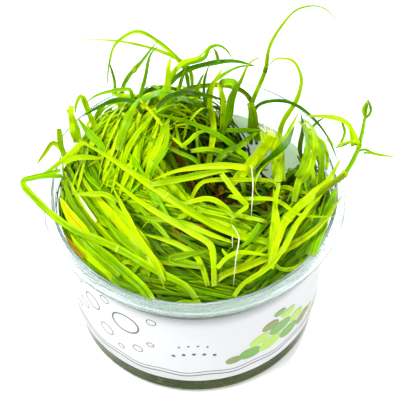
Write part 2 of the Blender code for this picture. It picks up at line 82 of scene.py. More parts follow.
# Long leaves: name, width, tone, turn of the blade about its own line in degrees, route from root to tip
BACK_LEAVES: tuple[Row, ...] = (
    ("back_leaf_1", 1.2, "lime", 10,
     ((0, 34, 72), (-1, 35, 84), (-5, 35, 89), (-13, 36, 93), (-25, 37, 96), (-38, 38, 96))),
    ("back_leaf_2", 1.3, "lime", -10,
     ((-1, 31, 72), (-3, 32, 88), (-11, 33, 99), (-18, 33, 104), (-25, 33, 99), (-28, 33, 90),
      (-30, 33, 76))),
    ("back_leaf_3", 1.5, "green", 15, ((-26, 35, 70), (-22, 35, 81), (-17, 34, 89), (-11, 34, 98))),
    ("back_leaf_4", 1.2, "green", 0, ((-19, 32, 70), (-16, 32, 84), (-14, 33, 92), (-11, 32, 98))),
    ("back_leaf_5", 1.8, "dark", 20,
     ((-15, 31, 70), (-9, 32, 78), (-3, 32, 85), (5, 32, 89), (14, 32, 90.5), (21.5, 32, 88))),
    ("back_leaf_6", 1.5, "green", -15,
     ((-10, 31, 77), (-4, 32, 88), (4, 32, 92), (6, 33, 96), (9, 33, 97), (12, 33, 94), (13.5, 33, 90))),
    ("back_leaf_7", 1.8, "lime", 25, ((-11, 29, 70), (-9, 30, 79), (-3, 31, 90), (2, 30, 94), (6, 30, 100))),
    ("back_leaf_8", 1.8, "lime", 0, ((-8, 27, 72), (-8, 30, 84), (-7, 31, 94))),
    ("back_leaf_9", 1.5, "olive", 15,
     ((21, 35, 52), (21, 35, 66), (17, 34, 74), (9, 32, 79), (-1, 30, 79), (-9, 29, 73), (-14, 28, 70),
      (-22, 26, 71))),
    ("back_leaf_10", 2.8, "green", -20,
     ((9, 22, 64), (12, 23, 73), (13, 24, 80), (14, 25, 87), (10, 26, 86), (10, 26, 81), (10, 28, 70))),
    ("back_leaf_11", 2.0, "olive", 10, ((5, 16, 56), (7, 22, 66), (6, 26, 80), (9, 29, 87), (11, 30, 90))),
    ("back_leaf_12", 1.2, "green", 0, ((4, 30, 70), (7, 30, 82), (13, 32, 86), (17, 33, 87), (22, 34, 86))),
    ("back_leaf_13", 1.6, "lime", 10, ((10, 28, 65), (10.4, 28, 74), (9.4, 28, 81), (8.3, 28, 84))),
    ("back_leaf_14", 1.2, "lime", -10,
     ((11, 31, 61), (13, 31, 68), (15, 31, 77), (17, 32, 82), (19, 33, 87), (21, 34, 88.5), (25, 35, 89))),
    ("tall_arch", 1.4, "lime", 10,
     ((20, 37, 50), (21, 36, 65), (25, 35, 82), (26, 35, 93), (30, 34, 105), (35, 34, 112), (42, 34, 112.8),
      (50, 33, 105))),
    ("right_arch", 1.7, "lime", -15,
     ((30, 22, 48), (31, 24, 67), (36, 27, 77), (37, 29, 85), (34, 31, 91), (29, 32, 91), (25, 34, 84))),
    ("dark_arch", 1.1, "dark", 0,
     ((23, 36, 52), (22, 34, 64), (26, 32, 70), (33, 27, 75), (40, 20, 76), (46, 13, 72), (49, 7, 67))),
)

LEFT_LEAVES: tuple[Row, ...] = (
    ("cut_stub_1", 1.8, "lime", 0, ((-43, 11, 62), (-45, 12, 70), (-45, 12, 80))),
    ("cut_stub_2", 1.9, "lime", 10, ((-39, 17, 64), (-40, 18, 74), (-42, 20, 81))),
    ("left_leaf_1", 1.8, "lime", 15,
     ((-32, 21, 66), (-35, 23, 72), (-38, 25, 82), (-40, 25, 78), (-41, 26, 72))),
    ("left_leaf_2", 1.3, "green", 0,
     ((-20, 31, 72), (-22, 30, 79), (-28, 27, 82), (-33, 25, 82), (-37, 22, 81))),
    ("left_leaf_3", 1.5, "dark", 10,
     ((-17, 27, 71), (-20, 28, 74), (-27, 26, 78), (-33, 23, 78), (-38, 20, 77))),
    ("left_leaf_4", 2.6, "green", 25, ((-29, 6, 74), (-32, 10, 75), (-36, 14, 77), (-39, 17, 80))),
    ("left_leaf_5", 1.7, "lime", -10,
     ((-34, 12, 74), (-37, 9, 76), (-44, 5, 72), (-48, 4, 69), (-53, 2, 67))),
    ("front_leaf_1", 1.7, "green", 10,
     ((-30, -26, 68), (-36, -17, 67), (-41, -8, 66), (-44, 2, 66), (-45, 10, 66))),
    ("front_leaf_2", 3.0, "yellow", -12,
     ((-9, -40, 66), (-14, -34, 69), (-21, -26, 71), (-28, -16, 71), (-35, -6, 71))),
    ("front_leaf_3", 2.0, "lime", 10, ((-14, -30, 71), (-21, -22, 72), (-29, -11, 72))),
    ("front_leaf_4", 2.0, "green", 0, ((-15, -34, 69), (-23, -27, 70), (-30, -17, 70))),
    ("front_leaf_5", 3.2, "orange", 8, ((-34, -22, 67), (-40, -15, 66), (-45, -6, 66))),
    ("front_leaf_6", 2.4, "lime", 0, ((-26, -36, 62), (-32, -30, 62), (-38, -24, 62), (-41, -19, 63))),
    ("front_leaf_7", 3.0, "lime", -8, ((-14, -43, 63), (-20, -39, 65), (-28, -31, 66), (-36, -22, 66))),
    ("front_leaf_8", 2.2, "lime", 12,
     ((1, -45, 63), (-4, -42, 66), (-12, -38, 68), (-21, -32, 69), (-31, -25, 68), (-41, -18, 66),
      (-51, -9, 66), (-58, 1, 66), (-54, 1, 68), (-45, 3, 69))),
    ("front_leaf_9", 1.8, "yellow", 10, ((-10, -38, 68), (-18, -28, 73), (-22, -20, 75), (-27, -8, 74))),
    ("front_leaf_10", 1.6, "lime", 0, ((-25, -11, 73), (-33, -9, 71), (-41, -7, 69))),
)

RIGHT_LEAVES: tuple[Row, ...] = (
    ("right_leaf_1", 4.0, "green", 10,
     ((37.5, -30, 66), (39.7, -25, 66.5), (43.5, -15, 66.5), (47.5, -5, 66))),
    ("right_leaf_2", 2.3, "olive", -8,
     ((5, -40, 66), (19, -35, 67), (33, -27, 67), (42, -18, 66), (49, -8, 67))),
    ("right_leaf_3", 2.2, "lime", 10, ((33, -9, 70), (37, 2, 72), (40, 18, 69), (37, 28, 64))),
    ("right_leaf_4", 1.8, "green", -10, ((43, 0, 66), (43, 8, 71), (39, 18, 68))),
    ("right_leaf_5", 1.9, "lime", 0, ((24, -31, 69), (26, -19, 73), (26, -11, 75))),
    ("right_leaf_6", 2.5, "yellow", 12,
     ((24, -33, 67), (28, -23, 70), (39, -10, 70), (45, -3, 69), (50, 7, 68))),
    ("right_leaf_7", 1.5, "lime", -10, ((12, -43, 64), (23, -36, 67), (33, -21, 69), (43, -5, 69))),
    ("seedling_stem", 1.8, "green", 0,
     ((40, -5, 64), (45, -4, 68), (50, -2, 71), (54, 2, 76), (56, 7, 80), (58, 15, 87))),
    ("seedling_leaf", 1.5, "lime", 10,
     ((53.2, 5, 79), (52, 9, 82.4), (50, 11, 83), (46, 13, 82.6), (41, 15, 81), (37.6, 17, 79))),
    ("seedling_side_leaf", 0.9, "lime", 0, ((57, 4, 76.6), (60.5, 4, 74), (65.3, 4, 72.6), (68, 4, 72.3))),
)

MIDDLE_LEAVES: tuple[Row, ...] = (
    ("middle_leaf_1", 1.3, "green", 0, ((5, -4, 78), (-2, -1, 80), (-11, 4, 81), (-20, 11, 79))),
    ("middle_leaf_2", 2.7, "green", 15, ((-25, 9, 74), (-21, 19, 76), (-18, 28, 75))),
    ("middle_leaf_3", 1.8, "lime", -10, ((-24, 0, 76), (-19, 9, 79), (-13, 16, 81))),
    ("middle_leaf_4", 1.7, "green", 10, ((21, 11, 60), (10, 12, 74), (0, 15, 78), (-14, 18, 80))),
    ("middle_leaf_5", 2.0, "lime", 0, ((-16, -8, 78), (-12, 1, 82), (-8, 14, 82))),
    ("middle_leaf_6", 3.4, "yellow", 20, ((28, 24, 56), (25, 12, 70), (18, 0, 73), (11, -9, 73))),
    ("middle_leaf_7", 2.0, "yellow", -10, ((20, 7, 62), (10, -2, 76), (-5, -7, 80), (-14, -11, 80))),
    ("middle_leaf_8", 1.3, "olive", 10,
     ((-2, -16, 79), (4, -11, 79), (16, -8, 76), (25, -7, 74), (27, -9, 74), (25, -15, 74))),
    ("middle_leaf_9", 1.2, "lime", 0,
     ((11, -10, 72), (14, -14, 74), (26, -15, 74), (34, -18, 70), (46, -17, 67))),
    ("long_leaf_1", 1.7, "lime", 10,
     ((4, -40, 67), (1, -35.4, 70.4), (-0.2, -33.8, 71), (-2, -32.6, 71.2), (-7, -30, 72), (-18, -26, 72))),
    ("long_leaf_2", 2.0, "lime", -10,
     ((6, -40, 66), (5.6, -33.4, 71), (5, -31.6, 72.2), (3.2, -30, 72.8), (-7, -24, 75), (-18, -16, 76),
      (-27, -6, 75))),
    ("long_leaf_3", 2.2, "lime", 10,
     ((26, -27, 67), (15, -28, 72), (7, -26, 75), (-5, -20, 79), (-16, -11, 80), (-28, 1, 78),
      (-39, 14, 72))),
)

# Leaves that keep their width up to a cut end
CUT_ENDS = ("cut_stub_1", "cut_stub_2", "seedling_stem")

# Where a leaf starts to narrow, as a share of its length, and the share of its width that is left at its tip
TIPS: dict[str, Pair] = {
    "cut_stub_1": (0.9, 0.95), "cut_stub_2": (0.9, 0.95), "seedling_stem": (0.0, 0.42),
    "middle_leaf_6": (0.8, 0.35), "front_leaf_8": (0.75, 0.5), "front_leaf_7": (0.7, 0.2),
    "tall_arch": (0.35, 0.05), "right_arch": (0.45, 0.05), "back_leaf_1": (0.4, 0.05),
    "thin_3": (0.9, 0.8), "back_leaf_5": (0.7, 0.1), "thin_48": (0.8, 0.7), "right_leaf_1": (0.0, 0.3),
    "thin_49": (0.9, 0.6), "thin_6": (0.8, 0.6), "thin_66": (0.6, 0.4), "thin_67": (0.6, 0.4),
    "thin_8": (0.8, 0.3), "thin_9": (0.8, 0.3),
}

# Leaves that stand out by their own shade: lightness, how yellow, and how brown the tip is
SHADES: dict[str, Triple] = {
    "back_leaf_9": (0.4, 0.0, 1.0), "dark_arch": (0.6, 0.0, 0.0), "seedling_side_leaf": (0.6, 0.2, 1.0),
    "front_leaf_8": (0.55, 0.0, 0.0), "middle_leaf_6": (0.95, 0.3, 0.0), "middle_leaf_7": (0.9, 0.3, 0.0),
    "middle_leaf_8": (0.95, 0.3, 0.0), "right_leaf_6": (0.8, 0.3, 0.0), "front_leaf_2": (0.75, 0.5, 0.0),
    "long_leaf_3": (0.8, 0.1, 0.0), "long_leaf_2": (0.9, 0.2, 0.0), "long_leaf_1": (0.9, 0.2, 0.0),
    "back_leaf_1": (0.75, 0.1, 0.0), "back_leaf_2": (0.6, 0.0, 0.0), "tall_arch": (0.6, 0.0, 0.0),
    "right_arch": (0.8, 0.2, 0.0), "seedling_stem": (0.65, 0.2, 0.0), "back_leaf_5": (0.95, 0.0, 0.0),
    "left_leaf_3": (0.75, 0.0, 0.0), "back_leaf_10": (0.9, 0.2, 0.0), "back_leaf_11": (0.95, 0.6, 0.0),
    "thin_24": (0.9, 0.0, 0.0), "right_leaf_1": (0.65, 0.1, 0.0), "right_leaf_2": (0.85, 0.2, 0.0),
    "front_leaf_7": (0.45, 0.0, 0.0), "middle_leaf_9": (0.95, 0.2, 0.0), "thin_49": (0.95, 0.3, 0.0),
}

# Thin leaves that share one mesh, written like the long ones
THIN_LEAVES: tuple[Row, ...] = (
    ("thin_1", 1.7, "lime", 0, ((-41, 18, 66), (-42, 24, 64), (-43, 29, 64))),
    ("thin_2", 1.5, "olive", 10,
     ((-45, 14, 66), (-48, 17, 67), (-49, 16.6, 67.4), (-51, 13, 67), (-54, 8, 66))),
    ("thin_3", 1.4, "green", 0, ((-58, 1, 66.6), (-54.8, 1.1, 67), (-50.4, 1.7, 67.5), (-44.6, 1.8, 67.5))),
    ("thin_4", 2.0, "lime", 10,
     ((-44, 5, 70), (-41.2, 6.3, 71), (-37.8, 6.1, 72), (-34.2, 5.1, 73), (-30.7, 3.7, 74))),
    ("thin_5", 0.8, "orange", 0, ((-38.5, 11.8, 72), (-39.5, 8.5, 72), (-40.2, 6.2, 72))),
    ("thin_6", 1.8, "lime", 10, ((-41.1, 26.9, 74), (-41.1, 24, 71), (-40.8, 21.1, 68), (-40.2, 18.2, 66))),
    # thin_7 is a pale strip along a leaf: painted highlight
    ("thin_7", 0.9, "pale", 0, ((-32, -19, 69), (-35, -14, 69), (-39, -6, 68))),
    ("thin_8", 1.8, "lime", 20,
     ((-28.2, 33, 74.8), (-25.5, 33, 73.2), (-20.3, 33, 72.6), (-15.1, 33, 71.9), (-9.8, 33, 71.8),
      (-2.8, 33, 71.6), (2.5, 33, 71))),
    ("thin_9", 2.0, "green", 25,
     ((-22.8, 30, 70.2), (-16.8, 30, 72.6), (-11.5, 30, 74), (-6.3, 30, 73.4), (-1, 30, 72.2),
      (4.2, 30, 69.5))),
    ("thin_10", 1.6, "dark", 10, ((-12, 28, 69), (-5, 30, 73), (3, 31, 73), (12, 31, 69))),
    ("thin_11", 1.4, "dark", -10, ((-24, 31, 68), (-15, 33, 76), (-8, 33, 77), (1, 31, 72))),
    ("thin_12", 1.7, "lime", 0, ((-24, -37, 64), (-29, -32, 65), (-37, -23, 66))),
    ("thin_13", 1.2, "brown", 0, ((-36, -28, 62), (-40, -23, 62), (-43, -18, 61))),
    ("thin_14", 1.0, "green", 0, ((-27, 34, 73), (-27, 34, 80), (-28, 34, 89))),
    ("thin_15", 2.0, "lime", 10, ((-32, 28, 65), (-30, 29, 69), (-28, 30, 71))),
    ("thin_16", 2.0, "green", 0, ((-35, 26, 66), (-33, 28, 70), (-30, 29, 75))),
    ("thin_17", 1.6, "lime", 0, ((-25, 28, 66), (-25, 30, 69), (-27, 31, 74))),
    ("thin_18", 1.2, "lime", 0, ((-6, 30, 74), (-4, 31, 81), (-2, 32, 87))),
    ("thin_19", 1.2, "green", 0, ((1, 28, 74), (2, 30, 80), (4, 32, 85))),
    ("thin_20", 0.9, "dark", 0, ((4, 28, 73), (4, 30, 82), (6, 32, 90))),
    ("thin_21", 1.2, "lime", 0, ((10, 24, 71), (10, 26, 77), (8, 28, 83))),
    ("thin_22", 1.0, "green", 0, ((9, 30, 92), (8, 31, 96), (7, 31, 98))),
    ("thin_23", 1.6, "yellow", 15, ((26, 2, 64), (28, 8, 66), (31, 15, 68), (37, 27, 70))),
    ("thin_24", 2.0, "dark", 10, ((21, 6, 62), (27, 14, 62), (31, 18, 63), (35, 26, 63))),
    ("thin_25", 1.5, "dark", 0, ((39, 22, 50), (38, 24, 54), (39, 28, 61), (38, 30, 66))),
    ("thin_26", 1.7, "lime", 0, ((40, 20, 66), (43, 20, 64), (44, 14, 62), (44, 6, 60))),
    ("thin_27", 1.1, "lime", 0, ((41, 20, 65), (45, 18, 64), (46, 12, 63), (45, 8, 61))),
    ("thin_28", 1.4, "lime", 0, ((40, 6, 54), (40, 16, 58), (40, 24, 62), (39, 28, 66))),
    ("thin_29", 1.1, "lime", 0, ((45, 4, 66), (46, 12, 63), (45, 19, 60))),
    ("thin_30", 1.5, "lime", 20, ((-4, 2, 81), (-1, 7, 79), (1, 12, 76), (3, 15, 74), (6, 17, 71))),
    ("thin_31", 0.9, "green", 0, ((-4, 3, 80), (-5, 6, 81), (-6, 13, 82))),
    ("thin_32", 0.9, "lime", 0, ((-2, 2, 80), (-5, 4, 81), (-8, 7, 82))),
    ("thin_33", 1.6, "green", 0, ((18, 19, 53), (11, 14, 62), (5, 8, 71), (-2, 4, 78))),
    ("thin_34", 1.8, "lime", 0, ((17, 27, 53), (11, 15, 62), (7, 1, 73))),
    ("thin_35", 1.6, "lime", 0, ((-13, -4, 81), (-9, 2, 83), (-8, 11, 85))),
    ("thin_36", 1.4, "green", 0, ((-14, -8, 79), (-12, -4, 80), (-8, 1, 82))),
    ("thin_37", 1.0, "orange", 0, ((-10, 8, 85), (-13, 13, 85), (-18, 24, 80))),
    ("thin_38", 2.1, "yellow", 0, ((-14, -12, 79), (-2, -10, 80), (8, -6, 78), (13, -2, 73))),
    ("thin_39", 1.7, "lime", 0,
     ((9, -7, 78), (15, -16, 76), (17, -18, 75), (14, -21, 75), (12, -23, 75), (12, -25, 74))),
    ("thin_40", 0.7, "lime", 0, ((28, 8, 68), (23, 2, 70), (20, -4, 70), (21, -12, 73), (24, -15, 74))),
    ("thin_41", 1.7, "green", 0, ((21, -23, 72), (18, -28, 71), (14, -32, 70))),
    ("thin_42", 1.5, "lime", 0, ((7, -38, 69), (10, -35, 70), (14, -33, 70), (24, -32, 67))),
    ("thin_43", 1.2, "lime", 0,
     ((24, -33, 66), (27, -35, 64), (30, -35, 63), (33, -33, 62), (35, -31, 63))),
    ("thin_44", 1.4, "lime", 0, ((13, -24, 76), (10, -21, 77), (5, -18, 79), (-3, -19, 79))),
    ("thin_45", 2.3, "green", 0, ((2, -38, 70), (-8, -36, 71), (-3, -35, 72), (5, -34, 73))),
    ("thin_46", 0.7, "lime", 0, ((-8, -30, 74), (-11, -26, 75), (-14, -24, 76), (-17, -26, 74))),
    ("thin_47", 1.0, "lime", 0, ((-28, -6, 75), (-26, -5, 77), (-28, -1, 77))),
    ("thin_48", 2.6, "lime", 0,
     ((23.2, 33, 47.4), (21.9, 34, 55.1), (20.7, 34.5, 62.1), (19.9, 34.5, 66.4))),
    ("thin_49", 3.0, "yellow", 20, ((26.2, 24.5, 63.4), (25.9, 19, 65.5), (25, 13, 69), (22, 6, 72))),
    ("thin_50", 1.6, "green", 0, ((10.5, 28, 60), (17.8, 30, 57), (25, 31, 55.7))),
    ("thin_51", 1.8, "green", 0, ((15.7, 22, 57), (19.1, 26, 56.7), (22.8, 30, 55.8))),
    ("thin_52", 2.2, "yellow", 10, ((24.1, 24, 63.1), (24.9, 18, 62.5), (22.9, 12, 62.1), (19.2, 6, 64))),
    ("thin_53", 1.4, "green", 0,
     ((33.6, 10, 54.4), (36.8, 14, 58.3), (38, 20, 62), (38, 26, 63.2), (36.8, 29, 63))),
    ("thin_54", 1.9, "lime", 0,
     ((35.6, 8, 54), (38.8, 13, 58.5), (40, 19, 62), (39.6, 25, 64), (37.6, 28, 65))),
    ("thin_55", 0.8, "green", 0, ((54.3, 3, 76.3), (56.5, 3.8, 76.3), (59.5, 4, 75))),
    ("thin_56", 1.2, "lime", 0, ((54.8, 4.6, 78.2), (53.6, 6.6, 80.4), (52.6, 8.6, 82.4))),
    ("thin_57", 1.6, "yellow", 10,
     ((26.5, -33.5, 70), (30.8, -25.5, 70), (34.6, -19, 70), (42.1, -9.5, 70))),
    ("thin_58", 1.5, "lime", 0,
     ((-2.3, -16.8, 75.6), (4.8, -15.4, 75.6), (9.9, -18.8, 76), (12.5, -22.2, 76))),
    ("thin_59", 1.3, "lime", 15,
     ((27.7, -5.2, 70.6), (26, -12.8, 71), (26.5, -22.5, 71.2), (24.9, -28.8, 70.5))),
    ("thin_60", 1.5, "lime", 0, ((-0.9, 4.5, 76), (4.2, 7, 73.7), (9.4, 9, 70), (17.1, 7.5, 68))),
    ("thin_61", 1.3, "green", 0, ((6.9, 4, 70.2), (10.1, 8.5, 70), (14.7, 13, 69))),
    ("thin_62", 0.7, "green", 0, ((55, 6, 76), (53, 10, 73), (51, 11, 70), (49, 12, 68))),
    ("thin_63", 0.9, "green", 0, ((50, 13, 80), (51, 11, 77), (49, 7, 75), (47, 4, 77))),
    ("thin_64", 0.8, "green", 0, ((40, 20, 68), (43, 19, 74), (45, 18, 77))),
    ("thin_65", 0.9, "lime", 0, ((48, 6, 76), (50, 6, 77), (53, 5, 79), (55, 4, 78))),
    ("thin_66", 0.9, "green", 0, ((57.1, 11, 83.7), (56.5, 13, 85.8), (58, 15.4, 87.8))),
    ("thin_67", 0.9, "green", 0, ((57.3, 11, 83.7), (58.9, 13, 85.2), (58, 15.4, 87.8))),
)

ROOTS: tuple[Row, ...] = (
    ("root_1", 0.4, "pale", 0, ((19, 0, 73), (19, -12, 76), (18, -26, 79))),
    ("root_2", 0.4, "pale", 0, ((12, -25, 74), (14, -28, 72), (13, -34, 69), (12, -42, 64))),
    ("root_3", 0.3, "pale", 0, ((12, -28, 73), (12, -32, 71))),
    ("hair_1", 0.5, "pale", 0, ((26, 23, 63.8), (26.3, 26, 64.5), (27, 27, 65.6))),
    ("hair_2", 0.45, "pale", 0, ((26.5, 23, 63.8), (27.6, 25.5, 64.8), (29.2, 27, 65))),
    ("hair_3", 0.45, "pale", 0, ((25.5, 23, 63.8), (25, 26, 64.6), (24.4, 27, 65.2))),
    ("hair_4", 0.4, "pale", 0, ((25.2, 23, 63.6), (23.8, 25, 64), (22.4, 26, 63.8))),
    ("hair_5", 0.4, "pale", 0, ((26.8, 23, 63.6), (28.8, 25, 64), (30.8, 26, 63.4))),
)


@dataclass(frozen=True)
class Vessel:
    """The cup's driving sizes, in millimetres, with what the leaves stand on."""

    height: float = 64.0
    rim: float = 52.0
    lip: float = 48.0
    skirt: float = 2.4
    ledge: float = 52.7
    ledge_top: float = 54.8
    wall_top: float = 45.6
    base: float = 44.5
    corner: float = 2.5
    wall: float = 0.8
    draft: float = 0.5
    label_low: float = 10.3
    label_high: float = 52.0
    label_thick: float = 0.3
    gel_top: float = 11.5

    def radius(self, height: Array | float) -> Array | float:
        """Outer radius of the tapered wall at a height."""
        share = (height - self.corner) / (self.ledge - self.corner)
        return self.base + (self.wall_top - self.base) * share

    def room(self, height: Array) -> Array:
        """Find the room inside the cup, clear of the wall.

        Args:
            height: The heights.

        Returns:
            The radius at each: the wall's up to the ledge, the lip's above it, and a straight slope between.
        """
        low = self.radius(np.minimum(height, self.ledge)) - self.wall - 2 * GAP
        high = self.lip - self.wall - 2 * GAP
        share = np.clip((height - self.ledge_top - 2 * GAP) / (2 * self.wall), 0.0, 1.0)
        return low + (high - low) * share


@dataclass(frozen=True)
class Mound:
    """The ground that the leaves lie on: a low dome with swells and hollows, as height, middle and widths."""

    edge: float = 58.5
    rise: float = 17.0
    radius: float = 48.0
    swells: Route = ((5.0, -14.0, 16.0, 18.0, 13.0), (-16.0, 14.0, 10.0, 13.0, 12.0),
                     (-30.0, 27.0, 27.0, 14.0, 14.0))
    pits: Route = ((22.0, 7.0, -2.0, 14.0, 10.0), (10.0, 30.0, 6.0, 8.0, 8.0), (12.0, 22.0, 33.0, 16.0, 9.0))

    def height(self, x: Array, y: Array) -> Array:
        """Height of the ground.

        Args:
            x: Places along X.
            y: Places along Y.

        Returns:
            The dome, which falls as the square of the radius, with each swell added as a bell.
        """
        height = self.edge + self.rise * (1.0 - np.minimum(np.hypot(x, y) / self.radius, 1.0) ** 2)
        return height + self.bells(self.swells, x, y)

    def pit(self, x: Array, y: Array) -> Array:
        """Depth of the shaded pits that the small leaves leave open."""
        return self.bells(self.pits, x, y)

    def bells(self, bells: Route, x: Array, y: Array) -> Array:
        """Sum of bells: each height times e to the minus of the squared distances over the widths."""
        return sum(rise * np.exp(-(((x - cx) / wide) ** 2 + ((y - cy) / deep) ** 2))
                   for rise, cx, cy, wide, deep in bells)


VESSEL = Vessel()
MOUND = Mound()

# Where a leaf lies over the mound, where it hangs free past the rim, and how near the ground is felt
INSIDE = VESSEL.lip - 2.0
OUTSIDE = VESSEL.rim + 1.5
NO_GROUND = -1000.0
NEAR = 1.5


def unit(vectors: Array) -> Array:
    """Scale vectors to length one."""
    return vectors / np.maximum(np.linalg.norm(vectors, axis=-1, keepdims=True), 1e-9)


def rolled(across: Array, along: Array, turn: Array) -> Array:
    """Turn sections about their leaf's line: across times the cosine plus the way through times the sine."""
    return across * np.cos(turn)[..., None] + np.cross(across, along) * np.sin(turn)[..., None]


def hermite(points: Array, knots: Array, slope: Array, where: Array) -> Array:
    """Read a cubic curve between knots.

    Args:
        points: The curve's points.
        knots: The place of each point along the curve.
        slope: The direction at each point.
        where: The places to read.

    Returns:
        One point for each place.
    """
    i = np.clip(np.searchsorted(knots, where, side="right") - 1, 0, len(knots) - 2)
    span = (knots[i + 1] - knots[i])[:, None]
    t = (where - knots[i])[:, None] / span
    return ((2 * t**3 - 3 * t**2 + 1) * points[i] + (t**3 - 2 * t**2 + t) * span * slope[i]
            + (3 * t**2 - 2 * t**3) * points[i + 1] + (t**3 - t**2) * span * slope[i + 1])


def spline(points: Sequence[Sequence[float]] | Array, share: Array) -> Array:
    """Read a smooth curve through points, its knots spaced by the square root of each chord.

    Args:
        points: The points that it runs through.
        share: Shares of its length, 0 to 1.

    Returns:
        One point for each share.
    """
    points = np.asarray(points, dtype=float)
    chord = np.maximum(np.linalg.norm(np.diff(points, axis=0), axis=1), 1e-6)
    knots = np.concatenate([[0.0], np.cumsum(np.sqrt(chord))])
    slope = np.gradient(points, knots, axis=0)
    fine = np.linspace(0.0, knots[-1], 40 * len(points))
    curve = hermite(points, knots, slope, fine)
    run = np.concatenate([[0.0], np.cumsum(np.linalg.norm(np.diff(curve, axis=0), axis=1))])
    return hermite(points, knots, slope, np.interp(np.asarray(share) * run[-1], run, fine))


@dataclass
class Skin:
    """A surface in millimetres: points, faces as rows of three or four, UVs, tints and material numbers."""

    points: Array
    faces: list[NDArray[np.int64]]
    uv: Array
    tint: Array
    slots: list[NDArray[np.int64]]

    @staticmethod
    def join(skins: Sequence["Skin"]) -> "Skin":
        """Put several skins in one.

        Args:
            skins: The skins.

        Returns:
            One skin with every face.
        """
        starts = np.cumsum([0] + [len(skin.points) for skin in skins[:-1]])
        return Skin(np.concatenate([skin.points for skin in skins]),
                    [face + start for skin, start in zip(skins, starts) for face in skin.faces],
                    np.concatenate([skin.uv for skin in skins]),
                    np.concatenate([skin.tint for skin in skins]),
                    [slot for skin in skins for slot in skin.slots])

    def piece(self, name: str, materials: Sequence[Material], slot: str,
              replaced: Sequence[str] = ()) -> None:
        """Make the object, riding on the cup's body.

        Args:
            name: The object's name.
            materials: Its materials, in the order of the material numbers.
            slot: The record's slot that its finish stands for; not used.
            replaced: The solids that it stands for.
        """
        mesh = bpy.data.meshes.new(name)
        corners = np.concatenate([face.ravel() for face in self.faces])
        sizes = np.concatenate([np.full(len(face), face.shape[1]) for face in self.faces])
        mesh.vertices.add(len(self.points))
        mesh.vertices.foreach_set("co", (self.points * MM).astype(np.float32).ravel())
        mesh.loops.add(len(corners))
        mesh.polygons.add(len(sizes))
        mesh.polygons.foreach_set("loop_start", np.concatenate([[0], np.cumsum(sizes)[:-1]]).astype(np.int32))
        mesh.polygons.foreach_set("vertices", corners.astype(np.int32))
        mesh.polygons.foreach_set("material_index", np.concatenate(self.slots).astype(np.int32))
        mesh.update(calc_edges=True)
        mesh.uv_layers.new(name="blade").uv.foreach_set("vector", self.uv[corners].astype(np.float32).ravel())
        tint = mesh.attributes.new("tint", "FLOAT_COLOR", "POINT")
        tint.data.foreach_set("color", self.tint.astype(np.float32).ravel())
        mesh.shade_smooth()
        piece = bpy.data.objects.new(name, mesh)
        for material in materials:
            mesh.materials.append(material)
        bpy.context.scene.collection.objects.link(piece)
        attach(piece, BODY)
        if replaced:
            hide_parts(*replaced)
        LOG.info("%s: %d faces", name, len(sizes))


@dataclass
class Blades:
    """Leaves as whole arrays on one grid of leaf and station."""

    points: Array
    across: Array
    half: Array
    thick: Array
    channel: Array
    tint: Array
    tone: NDArray[np.int64]

    def skin(self, sides: int) -> Skin:
        """Carry a section along each leaf and close its ends.

        Round the section runs an angle, whose cosine c is the place across the leaf and whose sine s the
        place through it. A point is the station, plus across times half the width times c, plus through
        times the sum of half the thickness times s times (1 - 0.3 c squared) and the channel's depth times
        half the width times (c squared - 0.4). The thickness falls with the square root of the width.

        Args:
            sides: How many points the section has.

        Returns:
            The leaves' skin.
        """
        count, stations = self.points.shape[:2]
        along = unit(np.gradient(self.points, axis=1))
        across = unit(self.across - (self.across * along).sum(-1, keepdims=True) * along)
        through = np.cross(across, along)
        angle = 2 * math.pi * np.arange(sides) / sides
        c, s = np.cos(angle), np.sin(angle)
        half = self.half[:, :, None]
        thick = self.thick[:, None, None] * np.sqrt(half / half.max(axis=1, keepdims=True))
        lift = thick / 2 * s * (1 - 0.3 * c**2) + self.channel[:, None, None] * half * (c**2 - 0.4)
        rings = (self.points[:, :, None, :] + across[:, :, None, :] * (half * c)[..., None]
                 + through[:, :, None, :] * lift[..., None])
        ends = self.points[:, [0, -1]] + through[:, [0, -1]] * lift[:, [0, -1]].mean(axis=2)[..., None]
        points = np.concatenate([rings.reshape(count, -1, 3), ends], axis=1)

        steps = np.linalg.norm(np.diff(self.points, axis=1, prepend=self.points[:, :1]), axis=2)
        run = np.cumsum(steps, axis=1)
        share = run / run[:, -1:]
        over, along_it = ((c + 1) / 2)[None, None, :], run[:, :, None] / UV_LENGTH
        place = np.stack(np.broadcast_arrays(over, along_it), axis=-1)
        tips = np.stack([np.full((count, 2), 0.5), run[:, [0, -1]] / UV_LENGTH], axis=-1)
        uv = np.concatenate([place.reshape(count, -1, 2), tips], axis=1)
        shares = np.concatenate([np.repeat(share, sides, axis=1), share[:, [0, -1]]], axis=1)
        tint = np.repeat(self.tint[:, None, :], points.shape[1], axis=1)
        tint[:, :, 2] = shares

        low = (np.arange(stations - 1) * sides)[:, None] + np.arange(sides)
        turn = (np.arange(stations - 1) * sides)[:, None] + (np.arange(sides) + 1) % sides
        quads = np.stack([low, low + sides, turn + sides, turn], axis=-1).reshape(-1, 4)
        k, after = np.arange(sides), (np.arange(sides) + 1) % sides
        last = (stations - 1) * sides
        root = np.stack([np.full(sides, stations * sides), k, after], axis=-1)
        tip = np.stack([np.full(sides, stations * sides + 1), last + after, last + k], axis=-1)
        base = (np.arange(count) * points.shape[1])[:, None, None]
        faces = [(quads[None] + base).reshape(-1, 4),
                 (np.concatenate([root, tip])[None] + base).reshape(-1, 3)]
        slots = [np.repeat(self.tone, len(quads)), np.repeat(self.tone, 2 * sides)]
        return Skin(points.reshape(-1, 3), faces, uv.reshape(-1, 2), tint.reshape(-1, 4), slots)


